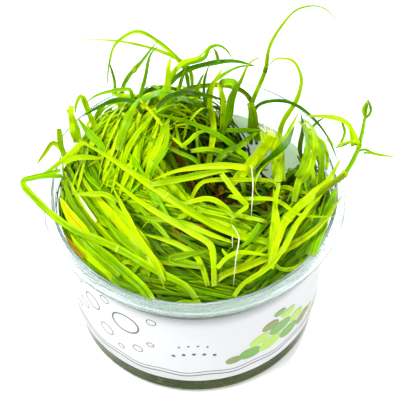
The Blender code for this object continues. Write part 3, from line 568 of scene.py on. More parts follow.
def woven(rings: Array, loop: bool = False, second: Sequence[int] | Array = ()) -> Skin:
    """Join a stack of rings into one closed surface.

    Rings run anticlockwise seen from ahead of the stack. Either the last joins the first, or each end closes
    in a fan round the middle of its ring.

    Args:
        rings: Points on a grid of ring and turn.
        loop: Whether the last ring joins the first.
        second: The rows of faces that take the second material.

    Returns:
        The skin.
    """
    count, steps = rings.shape[:2]
    rows = np.arange(count if loop else count - 1)
    i, j = rows[:, None] * steps, ((rows + 1) % count)[:, None] * steps
    a, b = np.arange(steps)[None, :], ((np.arange(steps) + 1) % steps)[None, :]
    faces = [np.stack([i + a, i + b, j + b, j + a], axis=-1).reshape(-1, 4)]
    slots = [np.repeat(np.isin(rows, second).astype(np.int64), steps)]
    points = rings.reshape(-1, 3)
    if not loop:
        last, pole = (count - 1) * steps, len(points)
        points = np.concatenate([points, rings[[0, -1]].mean(axis=1)])
        foot = np.stack([np.full(steps, pole), b[0], a[0]], axis=-1)
        head = np.stack([np.full(steps, pole + 1), last + a[0], last + b[0]], axis=-1)
        faces.append(np.concatenate([foot, head]))
        slots.append(np.zeros(2 * steps, dtype=np.int64))
    return Skin(points, faces, points[:, :2] / UV_LENGTH, np.full((len(points), 4), 0.5), slots)


def turned(profile: Sequence[Pair], steps: int = 160) -> Array:
    """Turn a profile about the cup's axis.

    A point is (radius times the sine of the turn, minus radius times its cosine, height).

    Args:
        profile: Its points as radius and height.
        steps: How many points each ring has.

    Returns:
        One ring for each point.
    """
    radius, height = np.asarray(profile, dtype=float).T[:, :, None]
    turn = 2 * math.pi * np.arange(steps)[None, :] / steps
    return np.stack(np.broadcast_arrays(radius * np.sin(turn), -radius * np.cos(turn), height), axis=-1)


def bend(centre: Pair, radius: float, start: float, end: float,
         steps: int) -> list[Pair]:
    """Points of an arc in a profile.

    Args:
        centre: The arc's middle.
        radius: Its radius.
        start: Its first angle in degrees.
        end: Its last angle in degrees.
        steps: How many straight runs it has.

    Returns:
        Its points.
    """
    angles = np.radians(np.linspace(start, end, steps + 1))
    return [(centre[0] + radius * math.cos(a), centre[1] + radius * math.sin(a)) for a in angles]


class Finish:
    """A node-built material with one Principled shader."""

    def __init__(self, name: str) -> None:
        """Start a material.

        Args:
            name: The material's name.
        """
        self.material = bpy.data.materials.new(name)
        self.material.use_nodes = True
        self.tree = self.material.node_tree
        self.shader = self.tree.nodes["Principled BSDF"]

    def node(self, kind: str, **settings: object) -> bpy.types.Node:
        """Add a node.

        Args:
            kind: The node's type.
            settings: Attributes to set on it.

        Returns:
            The new node.
        """
        node = self.tree.nodes.new(kind)
        for key, value in settings.items():
            setattr(node, key, value)
        return node

    def feed(self, socket: Socket, value: object) -> None:
        """Link a socket, or set its value.

        Args:
            socket: The input to fill.
            value: An output socket, or a plain value.
        """
        if isinstance(value, Socket):
            self.tree.links.new(value, socket)
        else:
            socket.default_value = value

    def math(self, operation: str, first: object, second: object = 0.0,
             clamp: bool = False) -> Socket:
        """Combine two numbers.

        Args:
            operation: Blender's name of the operation.
            first: The first number or socket.
            second: The second number or socket.
            clamp: Whether the result is held between 0 and 1.

        Returns:
            The result's socket.
        """
        node = self.node("ShaderNodeMath", operation=operation, use_clamp=clamp)
        self.feed(node.inputs[0], first)
        self.feed(node.inputs[1], second)
        return node.outputs[0]

    def mix(self, share: object, first: object, second: object) -> Socket:
        """Blend two colours.

        Args:
            share: How much of the second colour there is.
            first: A colour or socket.
            second: A colour or socket.

        Returns:
            The blended colour's socket.
        """
        node = self.node("ShaderNodeMix", data_type="RGBA")
        self.feed(node.inputs[0], share)
        for socket, value in ((node.inputs[6], first), (node.inputs[7], second)):
            self.feed(socket, (*value, 1.0) if isinstance(value, tuple) else value)
        return node.outputs[2]

    def ramp(self, value: object, low: float, high: float) -> Socket:
        """Rise smoothly from 0 at low to 1 at high.

        Args:
            value: The number that drives it.
            low: Where it starts.
            high: Where it ends.

        Returns:
            The result's socket.
        """
        node = self.node("ShaderNodeMapRange", interpolation_type="SMOOTHSTEP")
        self.feed(node.inputs["Value"], value)
        node.inputs["From Min"].default_value = low
        node.inputs["From Max"].default_value = high
        return node.outputs[0]

    def noise(self, vector: object, scale: float, detail: float = 2.0) -> Socket:
        """Read cloudy noise.

        Args:
            vector: Where it is read.
            scale: How fine it is.
            detail: How many finer layers it has.

        Returns:
            The noise's socket, 0 to 1.
        """
        node = self.node("ShaderNodeTexNoise")
        self.feed(node.inputs["Vector"], vector)
        node.inputs["Scale"].default_value = scale
        node.inputs["Detail"].default_value = detail
        return node.outputs[0]

    def place(self) -> Socket:
        """Object coordinates, in metres."""
        return self.node("ShaderNodeTexCoord").outputs["Object"]

    def bump(self, height: object, strength: float, depth: float) -> None:
        """Raise the surface by a height.

        Args:
            height: The height's socket.
            strength: How strongly it shows.
            depth: What a height of 1 is, in metres.
        """
        node = self.node("ShaderNodeBump")
        self.feed(node.inputs["Height"], height)
        node.inputs["Strength"].default_value = strength
        node.inputs["Distance"].default_value = depth
        self.feed(self.shader.inputs["Normal"], node.outputs[0])

    def set(self, **values: object) -> None:
        """Set the shader's own sockets.

        Args:
            values: A value or socket for each input, named with underscores for spaces.
        """
        for key, value in values.items():
            socket = self.shader.inputs[key.replace("_", " ")]
            wide = isinstance(value, tuple) and len(socket.default_value) == 4
            self.feed(socket, (*value, 1.0) if wide else value)


@dataclass(frozen=True)
class LeafFinish:
    """A leaf's skin: long bands and a midrib, paler at the root, and brown at a tip that has dried."""

    STRETCH = (3.0, 0.22, 37.0)
    # How the leaf's lightness picks which half of the blade takes painted shade
    SIDE = 61.0
    VEINS = 7
    WARM = (0.56, 0.74, 0.0)
    YOUNG = (0.62, 0.74, 0.14)
    DRIED = (0.40, 0.13, 0.01)

    tone: Tone
    deep: Colour
    bright: Colour
    rib: Colour = (0.0, 0.0, 0.0)
    ribbed: float = 0.0
    roughness: float = 0.22

    def material(self) -> Material:
        """Build the material.

        The colour runs from deep to bright by a level: the leaf's lightness, more or less of it towards one
        edge, noise drawn out along the blade into bands, finer noise, and less at the midrib. The lightness
        of small leaves falls with depth and over the pits, painted shade, and the step towards one edge is
        painted shade on one half of the folded blade. The bands read the place on the blade and the leaf's
        lightness, times STRETCH. The bump's height is the bands with fine veins, which are a sine across the
        blade.

        Returns:
            The material.
        """
        work = Finish("leaf_" + self.tone.value)
        parts = work.node("ShaderNodeSeparateXYZ")
        work.feed(parts.inputs[0], work.node("ShaderNodeUVMap", uv_map="blade").outputs[0])
        across, along = parts.outputs[0], parts.outputs[1]
        tint = work.node("ShaderNodeAttribute", attribute_name="tint")
        own = work.node("ShaderNodeSeparateColor")
        work.feed(own.inputs[0], tint.outputs["Color"])
        light, yellow, share = own.outputs[0], own.outputs[1], own.outputs[2]
        centre = work.math("SUBTRACT", across, 0.5)
        drawn = work.node("ShaderNodeCombineXYZ")
        for socket, value, stretch in zip(drawn.inputs, (across, along, light), self.STRETCH):
            work.feed(socket, work.math("MULTIPLY", value, stretch))
        bands = work.noise(drawn.outputs[0], 2.2, 2.5)
        cells = work.noise(work.place(), 420.0, 3.0)
        patch = work.noise(work.place(), 90.0)
        vein = work.math("SINE", work.math("MULTIPLY", across, 2 * math.pi * self.VEINS))
        # Painted shade: one half of the folded blade, picked by the leaf's lightness, is darker and the other
        # lighter
        side = work.math("SINE", work.math("MULTIPLY", light, self.SIDE))
        lift = work.math("MULTIPLY", work.math("MULTIPLY", side, centre), 0.55)
        for layer, amount in ((bands, 1.5), (cells, 0.3), (patch, 0.5)):
            lift = work.math("ADD", lift, work.math("MULTIPLY", work.math("SUBTRACT", layer, 0.5), amount))
        lift = work.math("ADD", lift, work.math("MULTIPLY", vein, 0.05))
        midrib = work.math("SUBTRACT", 1.0, work.ramp(work.math("ABSOLUTE", centre), 0.02, 0.09))
        lift = work.math("SUBTRACT", lift, work.math("MULTIPLY", midrib, 0.22))
        level = work.math("ADD", light, lift, clamp=True)
        body = work.mix(level, self.deep, self.bright)
        warm = work.mix(work.math("MULTIPLY", yellow, 0.5), body, self.WARM)
        veined = work.mix(work.math("MULTIPLY", midrib, self.ribbed), warm, self.rib)
        young = work.math("MULTIPLY", work.math("SUBTRACT", 1.0, work.ramp(share, 0.0, 0.12)), 0.12)
        rooted = work.mix(young, veined, self.YOUNG)
        dried = work.math("MULTIPLY", work.ramp(share, 0.84, 0.98), tint.outputs["Alpha"])
        colour = work.mix(dried, rooted, self.DRIED)
        work.set(Base_Color=colour, Roughness=self.roughness, IOR=1.14,
                 Subsurface_Weight=0.12, Subsurface_Radius=(0.8, 1.0, 0.1), Subsurface_Scale=0.001)
        ribs = work.math("ADD", work.math("MULTIPLY", vein, 0.3), work.math("MULTIPLY", bands, 1.6))
        work.bump(work.math("SUBTRACT", ribs, work.math("MULTIPLY", midrib, 0.8)), 0.6, 0.00012)
        return work.material


class Palette:
    """The materials of the leaves, one for each tone."""

    FINISHES = (
        LeafFinish(Tone.LIME, (0.05, 0.24, 0.0), (0.50, 0.78, 0.0)),
        LeafFinish(Tone.YELLOW, (0.15, 0.40, 0.0), (0.55, 0.80, 0.0), (0.70, 0.42, 0.0), 0.35),
        LeafFinish(Tone.GREEN, (0.018, 0.11, 0.0), (0.24, 0.56, 0.0)),
        LeafFinish(Tone.DARK, (0.005, 0.035, 0.0), (0.07, 0.24, 0.0)),
        LeafFinish(Tone.OLIVE, (0.06, 0.14, 0.0), (0.42, 0.62, 0.0), (0.30, 0.24, 0.0), 0.4),
        LeafFinish(Tone.ORANGE, (0.26, 0.44, 0.0), (0.58, 0.78, 0.0), (0.72, 0.22, 0.0), 0.9),
        LeafFinish(Tone.PALE, (0.60, 0.70, 0.30), (0.92, 0.95, 0.66)),
        LeafFinish(Tone.BROWN, (0.06, 0.018, 0.002), (0.42, 0.13, 0.012), (0.05, 0.01, 0.0), 0.5, 0.55),
    )

    def __init__(self) -> None:
        """Build every tone's material."""
        self.materials = {finish.tone: finish.material() for finish in self.FINISHES}
        self.numbers = {tone: number for number, tone in enumerate(self.materials)}

    def all(self) -> list[Material]:
        """Every material, in the order of the numbers."""
        return list(self.materials.values())


@dataclass
class Blade:
    """One long leaf: its stations, its width along them and the directions of its section.

    From the root's share of the width it grows steadily to full. Over its tip's share of the length it
    falls as the square root of what is left, and it keeps at least a share of the width.
    """

    ROOT = 0.7
    GROWTH = 1.2
    TIP = 0.35
    LEAST = 0.22
    RUNS = (4, 16)

    name: str
    width: float
    tone: str
    turn: float
    route: Route
    thick: float = 0.6
    step: float = 5.0
    share: Array = field(init=False)
    points: Array = field(init=False)
    first: Array = field(init=False)
    half: Array = field(init=False)
    across: Array = field(init=False)
    through: Array = field(init=False)

    def __post_init__(self) -> None:
        """Space the stations along the route and narrow the leaf towards its ends."""
        route = np.asarray(self.route, dtype=float)
        length = np.linalg.norm(np.diff(route, axis=0), axis=1).sum()
        share = np.linspace(0.0, 1.0, int(np.clip(round(length / self.step), *self.RUNS)) + 1)
        self.points = spline(route, share)
        self.first = self.points.copy()
        self.share = share
        taper = np.minimum(self.ROOT + self.GROWTH * share, 1.0)
        if self.name not in CUT_ENDS:
            taper = taper * np.clip((1.0 - share) / self.TIP, 0.0, 1.0) ** 0.5
        self.half = self.width * np.maximum(taper, self.LEAST) / 2
        self.aim()

    def aim(self) -> None:
        """Point each section across the leaf, mostly facing the side that the leaves lie towards."""
        along = unit(np.gradient(self.points, axis=0))
        across = np.cross(along, LAY)
        across[1:-1] = (across[:-2] + 2 * across[1:-1] + across[2:]) / 4
        across = unit(across - (across * along).sum(axis=1)[:, None] * along)
        through = np.cross(across, along)
        turn = math.radians(self.turn)
        self.across = across * math.cos(turn) + through * math.sin(turn)
        self.through = np.cross(self.across, along)

    def samples(self) -> tuple[Array, Array, Array, Array, Array]:
        """Read points about 1 mm apart on the straight runs between stations.

        Returns:
            Each station's share in each point, the points, and half the width, the reach along LAY and half
            the height of the blade there.
        """
        count = len(self.points)
        step = np.linalg.norm(np.diff(self.points, axis=0), axis=1).mean()
        where = np.linspace(0, count - 1, int((count - 1) * max(2, round(step))) + 1)
        spread = np.maximum(1.0 - np.abs(where[:, None] - np.arange(count)[None, :]), 0.0)
        rise = np.hypot(self.half * (self.across @ LAY), self.thick / 2 * (self.through @ LAY))
        tall = np.hypot(self.half * self.across[:, 2], self.thick / 2)
        return spread, spread @ self.points, spread @ self.half, spread @ rise, spread @ tall

    def rooted(self) -> "Blade":
        """Bring the root down to the mound where it stands inside the cup.

        Returns:
            The leaf itself.
        """
        x, y, height = self.points[0]
        if math.hypot(x, y) < INSIDE:
            self.points[0, 2] = min(height, MOUND.height(x, y) + GAP + self.thick)
            self.aim()
        return self

    def ground(self, points: Array, tall: Array) -> Array:
        """Find the lowest height that the blade's middle may have.

        Args:
            points: Points along the blade.
            tall: Half the blade's height at each.

        Returns:
            A height for each point: over the mound inside the cup, over the rim, and none outside it.
        """
        radius = np.hypot(points[:, 0], points[:, 1])
        steps = (-NEAR, 0.0, NEAR)
        around = [MOUND.height(points[:, 0] + dx, points[:, 1] + dy) for dx in steps for dy in steps]
        over_mound = np.max(around, axis=0) + tall + GAP
        over_rim = VESSEL.height + GAP + tall
        height = np.where(radius < INSIDE, over_mound, over_rim)
        return np.where(radius > OUTSIDE, NO_GROUND, height)


@dataclass(frozen=True)
class MatFlow:
    """Coarse leaves of the mound that lie side by side along one route, with how far they spread and bow."""

    count: int
    spread: float
    bow: float
    route: Route


@dataclass(frozen=True)
class Bed:
    """The long leaves laid on each other over the mound's own coarse leaves."""

    sink: float = 1.6
    reach: float = 43.0
    stray: float = 0.15
    width: float = 2.4
    thick: float = 1.2
    step: float = 9.0
    rounds: int = 40
    settled: float = 0.02
    ease: float = 0.35
    stations: int = 7
    bows: Pair = (0.7, 1.0)
    turns: Pair = (-15.0, 15.0)

    FLOWS = (
        MatFlow(8, 11.0, 1.6, ((-38, 12), (-24, -12), (-2, -38))),
        MatFlow(6, 7.0, 1.6, ((40, 10), (34, -14), (12, -38))),
        MatFlow(4, 6.0, 1.6, ((-30, -6), (-4, -14), (24, -16))),
        MatFlow(4, 5.0, 2.4, ((-32, 22), (-16, 30), (4, 36))),
        MatFlow(4, 5.0, 6.0, ((-6, 30), (-14, 16), (-26, 2))),
        MatFlow(3, 4.0, 3.0, ((38, 18), (34, 4), (26, -10))),
    )

    def coarse(self) -> list[Blade]:
        """Lay out the mound's coarse leaves.

        Returns:
            The leaves, each a copy of its flow's route moved sideways and bowed by a half sine.
        """
        chance = np.random.default_rng(11)
        share = np.linspace(0.0, 1.0, self.stations)
        arch = np.sin(math.pi * share)
        blades = []
        for flow in self.FLOWS:
            middle = spline(flow.route, share)
            run = np.gradient(middle, axis=0)
            side = np.column_stack([-run[:, 1], run[:, 0]]) / np.linalg.norm(run, axis=1)[:, None]
            for place in np.linspace(-1.0, 1.0, flow.count):
                flat = middle + side * flow.spread * (place + chance.uniform(-self.stray, self.stray))
                flat = flat * np.minimum(1.0, self.reach / np.hypot(*flat.T))[:, None]
                rise = (flow.bow + self.sink) * chance.uniform(*self.bows) * arch - self.sink
                route = np.column_stack([flat, MOUND.height(*flat.T) + rise])
                turn = chance.uniform(*self.turns)
                blades.append(Blade("mat_leaf_%d" % (len(blades) + 1), self.width, "green", turn, route,
                                    self.thick, self.step))
        return blades

    def settle(self, blades: Sequence[Blade], laid: list[tuple[Array, Array, Array]],
               fixed: bool = True) -> list[tuple[Array, Array, Array]]:
        """Lay each blade in turn on those before it.

        Where a blade crosses an earlier one too closely, its stations move along LAY until it is clear.

        Args:
            blades: The blades to lay, in order.
            laid: What is already laid, as points, half widths and reaches.
            fixed: Whether the ground holds them up too.

        Returns:
            What is laid now.
        """
        side = np.cross(LAY, (1.0, 0.0, 0.0))
        for blade in blades:
            for _ in range(self.rounds):
                spread, points, half, rise, tall = blade.samples()
                need = np.zeros(len(points))
                if fixed:
                    need = (blade.ground(points, tall) - points[:, 2]) / LAY[2]
                for other, other_half, other_rise in laid:
                    apart = points[:, None, :] - other[None, :, :]
                    flat = np.hypot(apart[..., 0], apart @ side)
                    depth = apart @ LAY
                    clear = rise[:, None] + other_rise[None, :] + 2 * GAP
                    near = (flat < half[:, None] + other_half[None, :] + 2 * GAP) & (np.abs(depth) < clear)
                    need = np.maximum(need, np.where(near, clear - depth, 0.0).max(axis=1))
                if need.max() < self.settled:
                    break
                lift = np.where(spread > 0, need[:, None], 0.0).max(axis=0).clip(min=0.0)
                eased = np.maximum(lift[:-1], lift[1:]) * self.ease
                lift[1:] = np.maximum(lift[1:], eased)
                lift[:-1] = np.maximum(lift[:-1], eased)
                blade.points = blade.points + lift[:, None] * LAY
                blade.aim()
            laid.append(blade.samples()[1:4])
        return laid


@dataclass(frozen=True)
class Flow:
    """Small leaves that lie along one route on the mound.

    Depth is their height over the mound's own, cover the share of the route that each takes, and tones names
    the colours by their first letters, as often as each is likely.
    """

    piece: str
    count: int
    route: Route
    spread: float
    depth: Pair = (-2.0, 1.2)
    bow: float = 1.5
    cover: Pair = (0.45, 1.0)
    width: Pair = (0.9, 2.1)
    tones: str = "LLLYGGGD"
    light: Pair = (0.25, 0.75)
    splay: float = 7.0


@dataclass(frozen=True)
class Scatter:
    """Small leaves thrown over the cup at random.

    Radius is where they lie, heading the turn of each from the outward direction with its spread, depth their
    height over the mound's, or level over the floor where given, slope how steeply they stand, sky how far
    they face upwards rather than outwards, and roll how freely they roll.
    """

    piece: str
    count: int
    radius: Pair
    length: Pair
    depth: Pair = (0.0, 0.0)
    level: Pair | None = None
    sector: Pair = (0.0, 360.0)
    heading: Pair = (90.0, 40.0)
    curl: float = 0.8
    slope: float = 0.0
    arch: float = 3.0
    width: Pair = (1.2, 2.4)
    tones: str = "GGGGDDDLB"
    light: Pair = (0.1, 0.6)
    margin: float = 0.8
    sky: float = 42.0
    roll: float = 1.0


@dataclass(frozen=True)
class Collar:
    """A short sheath round a leaf: its place and half length as shares of the leaf's, its swell and shade."""

    leaf: str
    share: float
    reach: float
    swell: float
    tone: Tone
    light: float


@dataclass
class Rush:
    """The plant: the long leaves one by one, and the tangle of small ones that they grow from.

    Sizes are in millimetres, and widths, tips and places along a leaf are shares of its own.
    """

    LEFT_SLOPE = ((-46, 16), (-34, -8), (-10, -38))
    RIGHT_SLOPE = ((46, 10), (39, -12), (14, -40))
    # Lightness differs at random within each range; the lower ranges of the deeper layers are painted shade
    FLOWS = (
        Flow("tangle_left", 54, LEFT_SLOPE, 9.0, (-1.5, 1.0), light=(0.32, 0.92)),
        Flow("tangle_left", 70, LEFT_SLOPE, 9.0, (-4.0, -1.0), tones="LGGGDD", light=(0.0, 0.45)),
        Flow("tangle_left", 40, ((-46, 2), (-41, -18), (-28, -34), (-8, -45)), 3.0, (-3.0, 1.0),
             light=(0.1, 0.6)),
        Flow("tangle_front", 44, ((-32, -28), (-8, -40), (16, -44)), 6.0, (-2.0, 0.8), light=(-0.08, 0.45)),
        Flow("tangle_front", 36, ((-16, -24), (4, -34), (26, -36)), 8.0, (-3.0, 0.4), light=(-0.08, 0.45)),
        Flow("tangle_right", 50, RIGHT_SLOPE, 8.0, (-1.5, 0.8), light=(0.2, 0.75)),
        Flow("tangle_right", 50, RIGHT_SLOPE, 8.0, (-4.0, -1.0), tones="LGGGDD", light=(0.0, 0.45)),
        Flow("tangle_right", 36, ((46, -2), (40, -22), (22, -40)), 3.0, (-3.0, 1.5), light=(0.05, 0.6)),
        Flow("tangle_right", 18, ((40, 22), (41, 6), (34, -12)), 4.0),
        Flow("tangle_middle", 40, ((-36, 4), (-12, -12), (24, -22)), 9.0, (-2.0, 1.0), light=(0.4, 0.95)),
        Flow("tangle_middle", 30, ((-34, -6), (-16, 8), (-6, 30)), 9.0, (0.0, 2.5), 3.0, (0.3, 0.7),
             width=(0.8, 1.6), tones="LLLYYYG", light=(0.8, 1.2), splay=14.0),
        Flow("tangle_middle", 44, ((-26, -12), (-20, 8), (-12, 34)), 9.0, (-1.0, 2.5), 4.0, tones="LLLYYYG",
             light=(0.85, 1.25)),
        Flow("tangle_middle", 40, ((4, -18), (-14, 4), (-28, 24)), 9.0, (-1.0, 2.0), 3.0, tones="LLLYYYG",
             light=(0.85, 1.25)),
        Flow("tangle_middle", 30, ((-38, 18), (-20, 20), (-4, 18)), 7.0, (-1.0, 2.5), 3.0, tones="LLLYYG",
             light=(0.8, 1.25)),
        Flow("tangle_back", 56, ((-40, 20), (-18, 31), (6, 36)), 6.0, (-2.0, 4.0), 3.0, tones="LLLYYGD",
             light=(0.75, 1.2)),
        Flow("tangle_back", 18, ((-36, 14), (-27, 26), (-30, 38)), 6.0, (0.0, 4.0), 5.0, width=(0.8, 1.7),
             tones="LLLYYG", light=(0.75, 1.2), splay=12.0),
        Flow("tangle_back", 20, ((-22, 12), (-9, 27), (-2, 38)), 8.0, (0.0, 4.0), 5.0, width=(0.8, 1.7),
             tones="LLLYYG", light=(0.75, 1.2), splay=12.0),
        Flow("tangle_back", 24, ((-46, 8), (-38, 26), (-20, 40)), 4.0, (-4.0, 0.0), 1.0, light=(0.6, 1.1)),
        Flow("tangle_back", 8, ((4, 22), (6, 30), (10, 36)), 4.0, (-3.0, 2.0), 2.0, (0.3, 0.6),
             tones="LGGGDD", light=(0.3, 0.8)),
        Flow("tangle_back", 10, ((26, 8), (34, 16), (36, 26)), 5.0, (-5.0, -1.0), 2.0, (0.3, 0.6),
             tones="GGGDDB", light=(0.1, 0.5)),
    )
    # The deep scatter's low lightness is painted shade
    SCATTERS = (
        Scatter("tangle_deep", 460, (0.0, 44.0), (10.0, 26.0), (-7.0, -2.0), light=(0.0, 0.45)),
        Scatter("wall_leaves", 130, (45.0, 47.5), (9.0, 24.0), level=(45.0, 61.0), sector=(108.0, 384.0),
                heading=(90.0, 4.0), curl=-0.35, slope=0.35, arch=0.0, tones="LLGGGD", light=(0.3, 0.8),
                margin=0.3, sky=2.0, roll=0.3),
        Scatter("wall_leaves", 100, (42.0, 45.0), (9.0, 24.0), level=(40.0, 58.0), sector=(108.0, 384.0),
                heading=(90.0, 10.0), curl=-0.35, slope=0.6, arch=0.0, tones="GGGDDB", sky=2.0, roll=0.3),
        Scatter("curls", 70, (4.0, 43.0), (7.0, 15.0), (-0.5, 2.0), heading=(60.0, 70.0), curl=2.4, arch=3.0,
                width=(0.9, 1.8), tones="LLLGGY", light=(0.5, 0.9)),
        Scatter("curls", 44, (20.0, 40.0), (14.0, 26.0), (0.0, 3.0), sector=(62.0, 150.0),
                heading=(70.0, 60.0), curl=1.6, arch=9.0, width=(0.9, 1.7), tones="LLLGGY",
                light=(0.55, 1.0)),
        Scatter("litter", 24, (24.0, 34.0), (3.0, 8.0), (-4.5, -1.5), sector=(-14.0, 20.0), curl=0.3,
                arch=0.5, width=(1.0, 2.4), tones="BBBO", light=(0.2, 0.9)),
        Scatter("litter", 46, (0.0, 15.0), (3.0, 9.0), (-4.5, -1.5), heading=(90.0, 90.0), curl=0.3,
                arch=0.5, width=(1.0, 2.6), tones="BBBO", light=(0.2, 0.9)),
    )
    COLLARS = (
        Collar("tall_arch", 0.40, 0.014, 1.2, Tone.GREEN, 0.5),
        Collar("back_leaf_10", 0.66, 0.05, 1.1, Tone.OLIVE, 0.1),
        Collar("back_leaf_3", 0.5, 0.03, 1.35, Tone.OLIVE, 0.7),
        Collar("dark_arch", 0.9, 0.05, 1.7, Tone.GREEN, 0.8),
        Collar("seedling_stem", 0.17, 0.15, 1.12, Tone.OLIVE, 0.3),
        Collar("seedling_stem", 0.33, 0.02, 1.35, Tone.OLIVE, 0.9),
        Collar("seedling_stem", 0.62, 0.02, 1.35, Tone.OLIVE, 0.8),
        # The last three are thin bright bands over nodes: their light yellow is painted highlight where the
        # nodes catch the light
        Collar("front_leaf_8", 0.34, 0.005, 1.05, Tone.YELLOW, 0.9),
        Collar("long_leaf_3", 0.47, 0.005, 1.05, Tone.YELLOW, 0.9),
        Collar("right_leaf_6", 0.30, 0.012, 1.1, Tone.YELLOW, 1.0),
    )
    # Tones that leaves over the pits mostly take: dark green and some brown, painted shade
    SHADED_TONES = "DDDDB"
    TIP = (0.55, 0.04)

    palette: Palette
    chance: np.random.Generator = field(default_factory=lambda: np.random.default_rng(5))
    laid: dict[str, Blades] = field(default_factory=dict)
    # Long leaves: grid, section, how the width grows, falls and swells, how far the root sinks and over what
    # length, and the ranges of lightness and yellowing
    long_step: float = 0.9
    long_runs: tuple[int, int] = (16, 130)
    long_sides: int = 14
    long_thick: float = 0.32
    long_channel: float = 0.3
    fullness: float = 0.55
    long_root: float = 0.8
    long_power: float = 0.7
    swell: float = 0.06
    swells: float = 0.7
    sunk: float = 2.4
    sunk_over: float = 4.5
    long_light: Pair = (0.5, 0.95)
    yellowing: Pair = (0.0, 0.4)
    # Thin leaves, roots and sheaths
    thin_thick: float = 0.4
    thin_step: float = 3.0
    thin_sides: int = 10
    sheath_thick: float = 0.9
    sheath_channel: float = 0.2
    sheath_runs: int = 9
    sheath_sides: int = 12
    # Small leaves: grid and thickness
    small_runs: int = 20
    small_sides: int = 8
    small_thick: float = 0.3
    # Strewn leaves: stray as a share of the spread, a wave and the range of its turns, the range of the bow,
    # roll and twist in radians, section, and how many have dried tips
    stray: float = 0.55
    wave: float = 0.5
    waves: Pair = (5.0, 12.0)
    bows: Pair = (0.2, 1.0)
    roll: float = 0.45
    twist: float = 0.8
    channels: Pair = (0.1, 0.3)
    dried: float = 0.15
    # Their width: the root's part, where it is full, the tip's length and power, and the least width
    root: float = 0.7
    full: float = 0.2
    tip: float = 0.16
    tip_power: float = 0.6
    least: float = 0.04
    # Painted shade: the pit's depth where it starts and over which it grows, how much it narrows and darkens
    # strewn leaves, and how much a millimetre of height lightens one, so that deeper leaves are darker
    shade_start: float = 3.5
    shade_range: float = 4.0
    narrowed: float = 0.35
    darkened: float = 0.8
    lightened: float = 0.09
    # Thrown leaves: range of a one-sided curl, roll, twist, section, width, yellowing and painted shade
    one_sided: Pair = (0.5, 1.0)
    thrown_roll: float = 0.5
    thrown_twist: float = 1.2
    thrown_channel: float = 0.2
    thrown_power: int = 6
    thrown_least: float = 0.05
    thrown_yellowing: Pair = (0.0, 0.3)
    thrown_shade: float = 2.5
    thrown_darkened: float = 0.5
    # Room: margins from the cup, the lip and the rim, and how high leaves pass over it
    margin: float = 0.8
    lip_margin: float = 1.0
    rim_margin: float = 1.5
    over: float = 1.0
    sky: Triple = (0.0, -12.0, 42.0)
    # Heart: rings and points, reach, innermost ring's share of it, depth, waist, and margins from the wall,
    # the gel and the ledge
    heart_rings: int = 26
    heart_points: int = 72
    heart: float = 45.0
    heart_middle: float = 0.03
    heart_depth: float = 7.5
    heart_waist: float = 43.0
    heart_foot: float = 2.0
    heart_floor: float = 4.0
    waist_drop: float = 3.0
    waist_margin: float = 8.0
    ripple: float = 0.8

    def number(self, letters: Sequence[str]) -> NDArray[np.int64]:
        """Material numbers of tones named by their first letters."""
        numbers = {tone.value[0].upper(): number for tone, number in self.palette.numbers.items()}
        return np.array([numbers[letter] for letter in letters])

    def fine(self, blade: Blade, light: float, yellow: float) -> Blades:
        """Refine a laid blade to a smooth one.

        Its line is the route itself, moved as far as its stations were when it was laid. A long leaf's root
        sinks into the tangle as the square of what is left of its first few millimetres. The half width
        grows to full over the first fifth, from the start of its tip it falls as a power of what is left, and
        it swells and shrinks a little along the leaf as a sine.

        Args:
            blade: The blade.
            light: Its lightness, 0 to 1, unless SHADES gives one.
            yellow: How yellow it is, likewise.

        Returns:
            The blade on a grid of its own.
        """
        length = np.linalg.norm(np.diff(blade.points, axis=0), axis=1).sum()
        share = np.linspace(0.0, 1.0, int(np.clip(length / self.long_step, *self.long_runs)))
        moved = blade.points - blade.first
        moved = hermite(moved, blade.share, np.gradient(moved, blade.share, axis=0), share)
        points = spline(blade.route, share) + moved
        if blade.thick > self.thin_thick:
            points[:, 2] -= self.sunk * np.clip(1.0 - share * length / self.sunk_over, 0.0, 1.0) ** 2
        across = np.stack([np.interp(share, blade.share, blade.across[:, i]) for i in range(3)], axis=1)
        start, end = TIPS.get(blade.name, self.TIP)
        grown = self.long_root + (1 - self.long_root) * np.minimum(share / self.full, 1.0)
        left = np.clip((1.0 - share) / (1.0 - start), 0.0, 1.0)
        half = blade.width * self.fullness * grown * (end + (1 - end) * left**self.long_power)
        half = half * (1 + self.swell * np.sin(share * length * self.swells + light * 9))
        light, yellow, dried = SHADES.get(blade.name, (light, yellow, 0.0))
        return Blades(points[None], across[None], half[None], np.array([self.long_thick]),
                      np.array([self.long_channel]), np.array([[light, yellow, 0.0, dried]]),
                      np.array([self.palette.numbers[Tone(blade.tone)]]))

    def long_leaves(self) -> None:
        """Build every long leaf as a piece of its own, and the thin leaves and roots in one piece each."""
        bed = Bed()
        laid = [blade.samples()[1:4] for blade in bed.coarse()]
        blades = [Blade(*row).rooted() for row in BACK_LEAVES + LEFT_LEAVES + RIGHT_LEAVES + MIDDLE_LEAVES]
        laid = bed.settle(blades, laid)
        for blade in blades:
            fine = self.fine(blade, self.chance.uniform(*self.long_light),
                             self.chance.uniform(*self.yellowing))
            self.laid[blade.name] = fine
            skin = fine.skin(self.long_sides)
            skin.slots = [np.zeros_like(slot) for slot in skin.slots]
            skin.piece(blade.name, [self.palette.materials[Tone(blade.tone)]], "leaf_" + blade.tone,
                       [blade.name])
        for piece, rows, light in (("thin_leaves", THIN_LEAVES, (0.4, 0.95)), ("roots", ROOTS, (0.9, 0.95))):
            thin = [Blade(*row, self.thin_thick, self.thin_step) for row in rows]
            laid = bed.settle(thin, laid, False)
            fines = [self.fine(blade, self.chance.uniform(*light), self.chance.uniform(*self.yellowing))
                     for blade in thin]
            skins = [fine.skin(self.thin_sides) for fine in fines]
            Skin.join(skins).piece(piece, self.palette.all(), "leaf_tangle")

